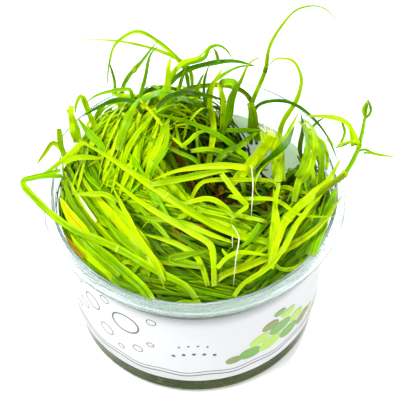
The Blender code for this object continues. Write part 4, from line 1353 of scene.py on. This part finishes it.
    def collars(self) -> None:
        """Wrap the nodes of some leaves in short sheaths, as wide as the leaf there times a swell."""
        skins = []
        for collar in self.COLLARS:
            leaf = self.laid[collar.leaf]
            where = np.linspace(0.0, 1.0, leaf.points.shape[1])
            share = np.linspace(collar.share - collar.reach, collar.share + collar.reach, self.sheath_runs)
            points, across = (np.stack([np.interp(share, where, side) for side in grid[0].T], axis=-1)
                              for grid in (leaf.points, leaf.across))
            half = np.interp(share, where, leaf.half[0]) * collar.swell
            tone = np.array([self.palette.numbers[collar.tone]])
            sheath = Blades(points[None], across[None], half[None], np.array([self.sheath_thick]),
                            np.array([self.sheath_channel]), np.array([[collar.light, 0.2, 0.5, 0.0]]), tone)
            skins.append(sheath.skin(self.sheath_sides))
        Skin.join(skins).piece("collars", self.palette.all(), "leaf_tangle")

    def strew(self, flow: Flow) -> Blades:
        """Strew a flow's small leaves over the mound.

        A leaf takes a stretch of the route, moved sideways and splayed. Its height is the mound's, plus its
        depth, plus a half sine of its bow. Its width grows to full by a fifth of its length, and falls to a
        point as a power of what is left. Leaves in the shaded pits are narrower and darker.

        Args:
            flow: The flow.

        Returns:
            Its leaves.
        """
        chance, count = self.chance, flow.count
        share = np.linspace(0.0, 1.0, self.small_runs)[None, :]
        cover = chance.uniform(*flow.cover, (count, 1))
        start = chance.uniform(0.0, 1.0, (count, 1)) * (1.0 - cover)
        where = start + cover * share
        flip = chance.random((count, 1)) < 0.5
        where = np.where(flip, where[:, ::-1], where)
        flat = spline(flow.route, where.ravel()).reshape(count, -1, 2)
        run = np.gradient(flat, axis=1)
        side = unit(np.stack([-run[..., 1], run[..., 0]], axis=-1))
        shift = chance.normal(0.0, self.stray, (count, 1)) * flow.spread
        shift = shift + (share - 0.5) * chance.uniform(-1.0, 1.0, (count, 1)) * flow.splay
        shift = shift + (share - 0.5) ** 2 * chance.uniform(-1.0, 1.0, (count, 1)) * flow.splay
        shift = shift + self.wave * np.sin(share * chance.uniform(*self.waves, (count, 1)) + start * 40)
        flat = flat + side * shift[..., None]
        depth = chance.uniform(*flow.depth, (count, 1))
        pit = MOUND.pit(flat[..., 0], flat[..., 1])
        height = MOUND.height(flat[..., 0], flat[..., 1]) + depth - pit
        height = height + flow.bow * chance.uniform(*self.bows, (count, 1)) * np.sin(math.pi * share)
        room = np.where(height > VESSEL.height + self.margin, VESSEL.rim, VESSEL.room(height)) - self.margin
        reach = np.hypot(flat[..., 0], flat[..., 1])
        flat = flat * np.minimum(1.0, room / reach)[..., None]
        points = np.concatenate([flat, height[..., None]], axis=-1)
        up = unit(points * (1.0, 1.0, 0.0) + self.sky)
        along = unit(np.gradient(points, axis=1))
        across = unit(np.cross(along, up))
        turn = chance.normal(0.0, self.roll, (count, 1))
        turn = turn + (share - 0.5) * chance.normal(0.0, self.twist, (count, 1))
        across = rolled(across, along, turn)
        width = chance.uniform(*flow.width, (count, 1))
        half = width / 2 * (self.root + (1 - self.root) * np.minimum(share / self.full, 1.0))
        left = np.clip((1.0 - share) / self.tip, 0.0, 1.0)
        half = half * np.maximum(left**self.tip_power, self.least)
        # Painted shade: deeper leaves are darker, and leaves over the pits darker still, narrower and mostly
        # dark or brown
        shade = np.clip((pit.mean(axis=1) - self.shade_start) / self.shade_range, 0.0, 1.0)
        half = half * (1.0 - self.narrowed * shade[:, None])
        light = chance.uniform(*flow.light, count) + self.lightened * depth[:, 0] - self.darkened * shade
        tint = np.stack([light, chance.uniform(*self.yellowing, count), np.zeros(count),
                         (chance.random(count) < self.dried).astype(float)], axis=1)
        tone = self.number(chance.choice(list(flow.tones), count))
        shaded = chance.random(count) < shade
        tone = np.where(shaded, self.number(chance.choice(list(self.SHADED_TONES), count)), tone)
        channel = chance.uniform(*self.channels, count)
        return Blades(points, across, half, np.full(count, self.small_thick), channel, tint, tone)

    def throw(self, scatter: Scatter) -> Blades:
        """Throw small leaves over the cup at random.

        A leaf is a stretch that turns steadily by its curl. Its height is the mound's less the pits, plus its
        depth, or else its own level, plus a half cosine of its arch. Its width falls towards both ends as the
        sixth power of the distance from its middle. Leaves in the shaded pits are darker, but not litter.

        Args:
            scatter: How they lie.

        Returns:
            The leaves.
        """
        chance, count = self.chance, scatter.count
        share = np.linspace(-0.5, 0.5, self.small_runs)[None, :]
        near, far = (value**2 for value in scatter.radius)
        radius = np.sqrt(chance.uniform(near, far, (count, 1)))
        angle = np.radians(chance.uniform(*scatter.sector, (count, 1)))
        heading = angle + np.radians(chance.normal(*scatter.heading, (count, 1)))
        curled = (chance.uniform(*self.one_sided, (count, 1)) if scatter.curl < 0
                  else chance.normal(0.0, 1.0, (count, 1)))
        heading = heading - share * scatter.curl * curled
        length = chance.uniform(*scatter.length, (count, 1))
        step = length / self.small_runs
        x = np.cumsum(np.cos(heading), axis=1) * step
        y = np.cumsum(np.sin(heading), axis=1) * step
        x = x - x.mean(axis=1, keepdims=True) + radius * np.cos(angle)
        y = y - y.mean(axis=1, keepdims=True) + radius * np.sin(angle)
        limit = np.minimum(1.0, (VESSEL.lip - self.lip_margin) / np.hypot(x, y))
        x, y = x * limit, y * limit
        if scatter.level is None:
            z = MOUND.height(x, y) - MOUND.pit(x, y) + chance.uniform(*scatter.depth, (count, 1))
        else:
            z = chance.uniform(*scatter.level, (count, 1)) + 0.0 * share
        z = z + scatter.arch * chance.random((count, 1)) * np.cos(math.pi * share)
        z = z + length * share * scatter.slope * chance.normal(0.0, 1.0, (count, 1))
        if scatter.level is not None:
            z = np.minimum(z, VESSEL.height - self.rim_margin)
        limit = np.minimum(1.0, (VESSEL.room(z) - scatter.margin) / np.hypot(x, y))
        limit = np.where(z > VESSEL.height + self.over, 1.0, limit)
        points = np.stack([x * limit, y * limit, z], axis=-1)
        along = unit(np.gradient(points, axis=1))
        up = unit(points * (1.0, 1.0, 0.0) + (0.0, 0.0, scatter.sky))
        across = unit(np.cross(along, up))
        turn = chance.normal(0.0, self.thrown_roll, (count, 1))
        turn = turn + share * chance.normal(0.0, self.thrown_twist, (count, 1))
        across = rolled(across, along, turn * scatter.roll)
        half = chance.uniform(*scatter.width, (count, 1)) / 2
        half = half * np.maximum(1 - (2 * np.abs(share)) ** self.thrown_power, self.thrown_least)
        light = chance.uniform(*scatter.light, count)
        # Painted shade: leaves over the pits are darker, all but the litter
        if scatter.piece != "litter":
            pit = MOUND.pit(x, y).mean(axis=1)
            shade = np.clip((pit - self.thrown_shade) / self.shade_range, 0.0, 1.0)
            light = light - self.thrown_darkened * shade
        yellow = chance.uniform(*self.thrown_yellowing, count)
        tint = np.stack([light, yellow, np.full(count, 0.5), np.zeros(count)], axis=1)
        tone = self.number(chance.choice(list(scatter.tones), count))
        return Blades(points, across, half, np.full(count, self.small_thick),
                      np.full(count, self.thrown_channel), tint, tone)

    def core(self) -> None:
        """Close the heart of the tangle with a dark, uneven body a few millimetres under the leaves; its
        near-black green is painted shade standing for stems deep in the tangle.

        Its rings shrink towards the middle. Its height is the mound's less the pits, less its depth, plus a
        ripple: a sine along X bent by a cosine along Y, times another cosine along Y.
        """
        angle = 2 * math.pi * np.arange(self.heart_points) / self.heart_points
        share = np.linspace(1.0, self.heart_middle, self.heart_rings)[:, None]
        x, y = self.heart * share * np.cos(angle), self.heart * share * np.sin(angle)
        ripple = self.ripple * np.sin(0.9 * x + 1.3 * np.cos(0.7 * y)) * np.cos(0.8 * y)
        z = MOUND.height(x, y) - MOUND.pit(x, y) - self.heart_depth + ripple
        z = np.maximum(z, VESSEL.gel_top + self.heart_floor)
        limit = np.minimum(1.0, (VESSEL.room(z) - 2 * self.margin) / np.hypot(x, y))
        top = np.stack([x * limit, y * limit, z], axis=-1)
        foot, waist = top[:1].copy(), top[:1].copy()
        foot[..., 2] = VESSEL.gel_top + GAP
        waist[..., 2] = np.minimum(waist[..., 2] - self.waist_drop, VESSEL.ledge - self.waist_margin)
        foot_radius = VESSEL.radius(VESSEL.gel_top) - self.heart_foot
        for ring, radius in ((foot, foot_radius), (waist, self.heart_waist)):
            ring[..., :2] *= (radius / np.hypot(ring[..., 0], ring[..., 1]))[..., None]
        skin = woven(np.concatenate([foot, waist, top]))
        work = Finish("shaded_stems")
        # Painted shade: near-black green, as the stems deep in the tangle look in shade
        patch = work.noise(work.place(), 260.0, 4.0)
        shade = work.mix(work.ramp(patch, 0.35, 0.65), (0.012, 0.022, 0.001), (0.05, 0.12, 0.002))
        work.set(Base_Color=shade, Roughness=0.7)
        work.bump(patch, 0.8, 0.001)
        skin.piece("tangle_heart", [work.material], "leaf_tangle", ["leaf_mat"])

    def build(self) -> None:
        """Build the whole plant."""
        self.long_leaves()
        self.core()
        self.collars()
        families = [(flow.piece, self.strew(flow)) for flow in self.FLOWS]
        families += [(scatter.piece, self.throw(scatter)) for scatter in self.SCATTERS]
        for name in dict.fromkeys(piece for piece, _ in families):
            skins = [blades.skin(self.small_sides) for piece, blades in families if piece == name]
            Skin.join(skins).piece(name, self.palette.all(), "leaf_tangle")


@dataclass(frozen=True)
class Cup:
    """The clear cup, the gel in it and the drops on its rim.

    The gel reaches a hair into the plastic, so that no air shows between them. The bead, the grooves and the
    gel's climb are written as how far in from the edge and how far up or down from it their points are.
    """

    step_round: float = 0.8
    throat_round: float = 0.4
    tuck_round: float = 0.3
    rim_round: float = 0.7
    lip_round: float = 0.6
    bead: Route = ((0.0, 0.8), (0.12, 0.95), (0.05, 1.1))
    grooves: tuple[float, ...] = (1.3, 2.1, 3.0)
    groove_width: float = 0.3
    groove_depth: float = 0.14
    wet: float = 0.08
    climb: Route = ((0.0, 0.0), (0.4, 0.25), (1.5, 0.5))
    drop_count: int = 170
    drop_turn: Pair = (-38.0, 48.0)
    drop_size: Pair = (0.12, 0.34)
    drop_margins: Pair = (0.7, 0.9)
    drop_lift: float = 0.02
    drop_sides: int = 8
    drop_rise: tuple[float, ...] = (0.0, 12.0, 35.0, 60.0)
    drop_height: float = 0.55

    def profile(self) -> list[Pair]:
        """Draw the cup's wall, from under its floor round the rim to the floor's upper side.

        Returns:
            The profile's points.
        """
        v = VESSEL
        corner = (v.base - v.corner, v.corner)
        rim_low, under, hem = v.height - v.skirt, v.height - v.wall, v.wall / 2
        step, throat, tuck, lip = self.step_round, self.throat_round, self.tuck_round, self.lip_round
        outer = bend(corner, v.corner, -90, 0, 8) + [(v.wall_top, v.ledge)]
        outer += bend((v.lip - step, v.ledge_top), step, -50, 0, 4)
        outer += bend((v.lip + v.draft + throat, under - throat), throat, 180, 90, 3)
        outer += bend((v.rim - v.wall - tuck, under - tuck), tuck, 90, 0, 3)
        outer += bend((v.rim - hem, rim_low + hem), hem, 180, 360, 6)
        outer += [(v.rim - deep, rim_low + up) for deep, up in self.bead]
        outer += bend((outer[-1][0] - self.rim_round, v.height - self.rim_round), self.rim_round, 0, 90, 5)
        for groove in self.grooves:
            outer += [(v.rim - groove, v.height),
                      (v.rim - groove - self.groove_width / 2, v.height - self.groove_depth),
                      (v.rim - groove - self.groove_width, v.height)]
        inner = bend((v.lip + lip / 2, v.height - lip), lip, 90, 180, 5)
        inner += [(v.lip - v.wall, v.ledge_top + v.wall), (v.lip - v.wall - tuck, v.ledge_top + tuck)]
        inner += [(v.wall_top - v.wall, v.ledge + hem)]
        return outer + inner + bend(corner, v.corner - v.wall, 0, -90, 8)

    def clear_plastic(self, name: str, roughness: float, clarity: float, ior: float) -> Material:
        """Clear plastic, faintly blue-green, with a moulder's fine unevenness.

        Args:
            name: The material's name.
            roughness: How frosted it is.
            clarity: How much light it lets through.
            ior: How strongly it bends and mirrors light.

        Returns:
            The material.
        """
        work = Finish(name)
        work.set(Base_Color=(0.86, 0.955, 0.95), Roughness=roughness, IOR=ior, Transmission_Weight=clarity)
        work.bump(work.noise(work.place(), 90.0, 3.0), 0.12, 0.0006)
        return work.material

    def nutrient_gel(self) -> Material:
        """Olive gel, wet and mottled, lighter in cloudy patches and flecks.

        Returns:
            The material.
        """
        work = Finish("nutrient_gel")
        cloud = work.ramp(work.noise(work.place(), 55.0, 4.0), 0.3, 0.75)
        fleck = work.ramp(work.noise(work.place(), 420.0, 2.0), 0.62, 0.7)
        body = work.mix(cloud, (0.046, 0.062, 0.002), (0.082, 0.100, 0.005))
        colour = work.mix(work.math("MULTIPLY", fleck, 0.35), body, (0.28, 0.32, 0.09))
        work.set(Base_Color=colour, Roughness=0.3, IOR=1.05, Subsurface_Weight=0.2,
                 Subsurface_Radius=(1.0, 1.0, 0.3), Subsurface_Scale=0.002)
        work.bump(work.noise(work.place(), 160.0), 0.2, 0.0008)
        return work.material

    def drops(self) -> None:
        """Leave tiny drops on the rim's flat top, mostly at the front and right.

        Each is a stack of rings: as an angle rises, their radius falls as its cosine and their height grows
        as its sine.
        """
        chance = np.random.default_rng(23)
        turn = 2 * math.pi * np.arange(self.drop_sides)[None, :] / self.drop_sides
        rise = np.radians(self.drop_rise)[:, None]
        nearest, farthest = VESSEL.lip + self.drop_margins[0], VESSEL.rim - self.drop_margins[1]
        skins = []
        for _ in range(self.drop_count):
            size = chance.uniform(*self.drop_size)
            angle = math.radians(chance.normal(*self.drop_turn))
            reach = chance.uniform(nearest, farthest)
            x = reach * math.cos(angle) + size * np.cos(rise) * np.cos(turn)
            y = reach * math.sin(angle) + size * np.cos(rise) * np.sin(turn)
            z = VESSEL.height + self.drop_lift + self.drop_height * size * np.sin(rise)
            skins.append(woven(np.stack(np.broadcast_arrays(x, y, z), axis=-1)))
        Skin.join(skins).piece("rim_drops", [self.clear_plastic("drops", 0.02, 0.9, 1.33)], "clear_plastic")

    def build(self) -> None:
        """Build the cup, its gel and its drops."""
        v = VESSEL
        profile = self.profile()
        heights = np.array([height for _, height in profile])
        milky = np.flatnonzero(np.minimum(heights[:-1], heights[1:]) >= v.ledge)
        plastics = [self.clear_plastic("clear_wall", 0.04, 1.0, 1.12),
                    self.clear_plastic("clear_rim", 0.10, 0.88, 1.2)]
        woven(turned(profile), second=milky).piece("clear_cup", plastics, "clear_plastic", ["cup"])
        inside = v.wall - self.wet
        side = v.radius(v.gel_top) - inside
        gel = bend((v.base - v.corner, v.corner), v.corner - inside, -90, 0, 8)
        gel += [(side - inward, v.gel_top - down) for inward, down in self.climb]
        woven(turned(gel)).piece("gel_disc", [self.nutrient_gel()], "nutrient_gel", ["gel"])
        self.drops()


@dataclass(frozen=True)
class Label:
    """The wrap label and its printed design: rising bubbles, wavy rules, dots and a heap of pebbles.

    The design is drawn flat, as millimetres round the label from its front, height, and lift off the film.
    It is printed twice, as far round as repeats says. Each pebble's ink lies on that of the pebble before.
    """

    radius: float = 45.5
    lowered: float = 0.7
    ink: float = 0.03
    bubble_ink: float = 0.035
    overlap: float = 0.012
    steps: int = 36
    ovals: tuple[float, ...] = (1.0, 1.0, 0.97, 0.75, 0.5, 0.25)
    rule_steps: int = 240
    waves: int = 17
    swing: float = 0.55
    repeats: tuple[float, ...] = (0.0, 143.0)
    # Prints: name, colour and mottling
    prints: tuple[tuple[str, Colour, Colour], ...] = (
        ("charcoal", (0.035, 0.037, 0.042), (0.07, 0.072, 0.08)),
        ("green", (0.10, 0.30, 0.02), (0.18, 0.42, 0.04)),
        ("lime", (0.34, 0.58, 0.03), (0.46, 0.68, 0.08)),
        ("olive", (0.16, 0.20, 0.03), (0.26, 0.30, 0.06)),
    )
    # Rules: height and thickness
    rules: Route = ((14.2, 0.5), (16.2, 0.35))
    # Bubbles and dots: place round the label, height and radius
    bubbles: Route = ((-51, 23, 1.3), (-46, 30, 2.3), (-40, 38, 3.4), (-47.5, 43, 1.6), (-34, 27, 2.7),
                      (-33, 46.5, 1.7), (-25, 39, 4.8), (-21, 25.5, 1.7), (-15, 46, 1.5), (-28, 21.5, 1.1),
                      (-16, 31, 1.1))
    dots: Route = ((-8, 27, 0.7), (-4.5, 28.2, 0.7), (-1, 28.8, 0.7), (2.5, 28.6, 0.7), (6, 27.7, 0.7),
                   (-6, 33, 0.45), (-2.8, 34, 0.45), (0.4, 34.2, 0.45), (3.6, 33.6, 0.45))
    # Pebbles: place, height, half width, half height, tilt in degrees and print
    pebbles: tuple[tuple[float, float, float, float, float, str], ...] = (
        (13, 21.5, 3.4, 2.2, 12, "olive"), (19, 22.6, 4.6, 3.2, -8, "green"),
        (27, 23.2, 4.9, 3.4, 10, "lime"), (35.5, 22.8, 4.7, 3.2, -14, "green"),
        (43.5, 21.9, 4.2, 2.6, 8, "olive"), (22.5, 28.6, 4.2, 2.8, 16, "lime"),
        (31, 29.8, 4.8, 3.2, -6, "green"), (39.2, 28.3, 4.0, 2.6, -18, "lime"),
        (26.5, 34.5, 3.6, 2.3, 8, "olive"), (34.5, 35.4, 3.5, 2.3, -10, "lime"),
        (30.2, 39.4, 2.5, 1.6, 6, "green"), (48.8, 21.2, 2.0, 1.5, 0, "lime"),
    )

    def film(self, name: str, colour: Colour, glow: Colour, lit: float = 0.0) -> Material:
        """Build one face of the label's film, or one of its prints.

        Args:
            name: The material's name.
            colour: Its colour.
            glow: The colour of its faint mottling, and of its glow.
            lit: How strongly it glows: painted light standing for light that shines through the film.

        Returns:
            The material.
        """
        work = Finish(name)
        cloud = work.noise(work.place(), 60.0, 3.0)
        grain = work.noise(work.place(), 1800.0)
        work.set(Base_Color=work.mix(work.math("MULTIPLY", cloud, 0.8), colour, glow), Roughness=0.42,
                 Subsurface_Weight=0.1, Subsurface_Radius=(1.0, 1.0, 1.0), Subsurface_Scale=0.0006,
                 Emission_Color=glow, Emission_Strength=lit)
        work.bump(grain, 0.15, 0.00005)
        return work.material

    def wrapped(self, skin: Skin, along: float = 0.0) -> Skin:
        """Lay a flat drawing round the label.

        Args:
            skin: The drawing.
            along: How far round it moves, in millimetres.

        Returns:
            The same skin, its points on the film.
        """
        place, height, lift = skin.points.T
        angle = (place + along) / self.radius
        radius = VESSEL.radius(height) + GAP + VESSEL.label_thick + lift
        skin.points = np.stack([radius * np.sin(angle), -radius * np.cos(angle), height], axis=1)
        return skin

    def stack(self, x: Array, y: Array, lifts: Sequence[float]) -> Array:
        """Put outlines on a grid with a lift for each."""
        return np.stack(np.broadcast_arrays(x, y, np.asarray(lifts)[:, None]), axis=-1)

    def patch(self, place: float, height: float, half: Pair, tilt: float,
              lift: float) -> Array:
        """Outline a filled oval, its edge raised a hair and its inside drawn as smaller ovals.

        Its radius swells a little as cosines of two and three times the turn, so that no two are alike.

        Args:
            place: Its middle round the label.
            height: Its middle's height.
            half: Half its width and height.
            tilt: Its tilt in degrees.
            lift: How far its face stands off the film.

        Returns:
            Its rings.
        """
        turn = 2 * math.pi * np.arange(self.steps)[None, :] / self.steps
        share = np.array(self.ovals)[:, None]
        swell = 1 + 0.05 * np.cos(2 * turn + height) + 0.03 * np.cos(3 * turn + place)
        across, up = half[0] * share * swell * np.cos(turn), half[1] * share * swell * np.sin(turn)
        c, s = math.cos(math.radians(tilt)), math.sin(math.radians(tilt))
        lifts = [0.0] + [lift] * (len(self.ovals) - 1)
        return self.stack(place + across * c - up * s, height + across * s + up * c, lifts)

    def bubble(self, place: float, height: float, radius: float) -> Array:
        """Outline a bubble's ring, its line an eighth of its radius wide and no less than the gap.

        Args:
            place: Its middle round the label.
            height: Its middle's height.
            radius: The ring's inner radius.

        Returns:
            Its rings.
        """
        turn = 2 * math.pi * np.arange(self.steps)[None, :] / self.steps
        edge = np.array([1.0, 1.0, 0.0, 0.0])[:, None] * max(radius / 8, GAP)
        return self.stack(place + (radius + edge) * np.cos(turn), height + (radius + edge) * np.sin(turn),
                          (0.0, self.bubble_ink, self.bubble_ink, 0.0))

    def rule(self, height: float, thick: float) -> Array:
        """Outline a wavy rule right round the label, its height a sine of the turn.

        Args:
            height: Its middle's height.
            thick: Its thickness.

        Returns:
            Its rings.
        """
        turn = 2 * math.pi * np.arange(self.rule_steps)[None, :] / self.rule_steps
        edge = np.array([-0.5, -0.5, 0.5, 0.5])[:, None] * thick
        wave = self.swing * np.sin(self.waves * turn)
        return self.stack(self.radius * turn, height + wave + edge, (0.0, self.ink, self.ink, 0.0))

    def build(self) -> None:
        """Build the film and its print."""
        v = VESSEL
        heights = np.linspace(v.label_high - self.lowered, v.label_low, 8)
        inside = [(v.radius(z) + GAP, z) for z in heights]
        outside = [(v.radius(z) + GAP + v.label_thick, z) for z in heights[::-1]]
        # The back face is pale green and glows faintly: painted light standing for light that shines through
        # the film
        films = [self.film("label_white", (0.62, 0.635, 0.655), (0.66, 0.665, 0.68)),
                 self.film("label_back", (0.71, 0.83, 0.54), (0.78, 0.90, 0.62), 0.42)]
        sleeve = woven(turned(inside + outside), True, range(len(inside) - 1))
        sleeve.piece("wrap_label", films, "label_film", ["label"])
        names = [name for name, _, _ in self.prints]
        skins = [self.wrapped(woven(self.rule(*row), True)) for row in self.rules]
        for along in self.repeats:
            skins += [self.wrapped(woven(self.bubble(*row), True), along) for row in self.bubbles]
            skins += [self.wrapped(woven(self.patch(x, z, (r, r), 0.0, self.ink)), along)
                      for x, z, r in self.dots]
            for layer, (x, z, wide, high, tilt, name) in enumerate(self.pebbles):
                rings = self.patch(x, z, (wide, high), tilt, self.ink + self.overlap * layer)
                skin = self.wrapped(woven(rings), along)
                skin.slots = [slot + names.index(name) for slot in skin.slots]
                skins.append(skin)
        inks = [self.film("print_" + name, colour, glow) for name, colour, glow in self.prints]
        Skin.join(skins).piece("label_print", inks, "label_film")


@dataclass(frozen=True)
class Studio:
    """The pale floor, soft light and camera.

    The eye is in millimetres, the camera's pitch and roll in degrees, and each lamp has a name, a place and a
    side in metres and a power in watts. The floor lies a hair under the cup.
    """

    eye: Triple = (1.9, -256.1, 380.9)
    pitch: float = 51.8
    roll: float = -0.94
    lens: float = 108.0
    sensor: float = 36.0
    world: float = 0.64
    glow: float = 0.42
    floor_half: float = 3.0
    floor_drop: float = 5e-5
    aim: Triple = (0.0, 0.0, 0.06)
    lamps: tuple[tuple[str, Triple, float, float], ...] = (
        ("key", (-0.32, -0.22, 0.72), 4.8, 0.22), ("glint", (0.22, 0.30, 0.60), 2.5, 0.06))

    def camera(self) -> None:
        """Look down at the cup from the front, rolled about the line of sight."""
        pitch, roll = math.radians(self.pitch), math.radians(self.roll)
        forward = Vector((0.0, math.cos(pitch), -math.sin(pitch)))
        right = Vector((1.0, 0.0, 0.0))
        up = right.cross(forward)
        x_axis = right * math.cos(roll) + up * math.sin(roll)
        y_axis = up * math.cos(roll) - right * math.sin(roll)
        data = bpy.data.cameras.new("camera")
        data.lens = self.lens
        data.sensor_width = self.sensor
        camera = bpy.data.objects.new("camera", data)
        turned_to = Matrix((x_axis, y_axis, -forward)).transposed().to_4x4()
        camera.matrix_world = Matrix.Translation(Vector(self.eye) * MM) @ turned_to
        bpy.context.scene.collection.objects.link(camera)
        bpy.context.scene.camera = camera

    def floor(self) -> None:
        """A wide white floor that glows a little, so that shadows on it stay faint."""
        work = Finish("studio_floor")
        cloud = work.noise(work.place(), 3.0)
        work.set(Base_Color=work.mix(cloud, (0.93, 0.93, 0.93), (0.95, 0.95, 0.95)), Roughness=0.9,
                 Emission_Color=(1.0, 1.0, 1.0), Emission_Strength=self.glow)
        corners = [(x * self.floor_half, y * self.floor_half, -self.floor_drop)
                   for x, y in ((-1, -1), (1, -1), (1, 1), (-1, 1))]
        mesh = bpy.data.meshes.new("studio_floor")
        mesh.from_pydata(corners, [], [(0, 1, 2, 3)])
        mesh.materials.append(work.material)
        floor = bpy.data.objects.new("studio_floor", mesh)
        bpy.context.scene.collection.objects.link(floor)

    def light(self, name: str, place: Triple, power: float, size: float) -> None:
        """Add a soft square light that faces the plant.

        Args:
            name: Its name.
            place: Where it stands, in metres.
            power: Its power in watts.
            size: Its side in metres.
        """
        data = bpy.data.lights.new(name, "AREA")
        data.energy, data.size = power, size
        light = bpy.data.objects.new(name, data)
        light.location = place
        light.rotation_euler = (Vector(self.aim) - Vector(place)).to_track_quat("-Z", "Y").to_euler()
        bpy.context.scene.collection.objects.link(light)

    def build(self) -> None:
        """Build the studio."""
        scene = bpy.context.scene
        scene.view_settings.view_transform = "Standard"
        world = bpy.data.worlds.new("soft_white")
        world.use_nodes = True
        background = world.node_tree.nodes["Background"]
        background.inputs["Color"].default_value = (1.0, 1.0, 1.0, 1.0)
        background.inputs["Strength"].default_value = self.world
        scene.world = world
        self.camera()
        self.floor()
        for lamp in self.lamps:
            self.light(*lamp)


def main() -> None:
    """Build every piece around the frame."""
    logging.basicConfig(level=logging.INFO, format="%(name)s: %(message)s")
    Studio().build()
    Cup().build()
    Label().build()
    Rush(Palette()).build()


if __name__ == "__main__":
    main()
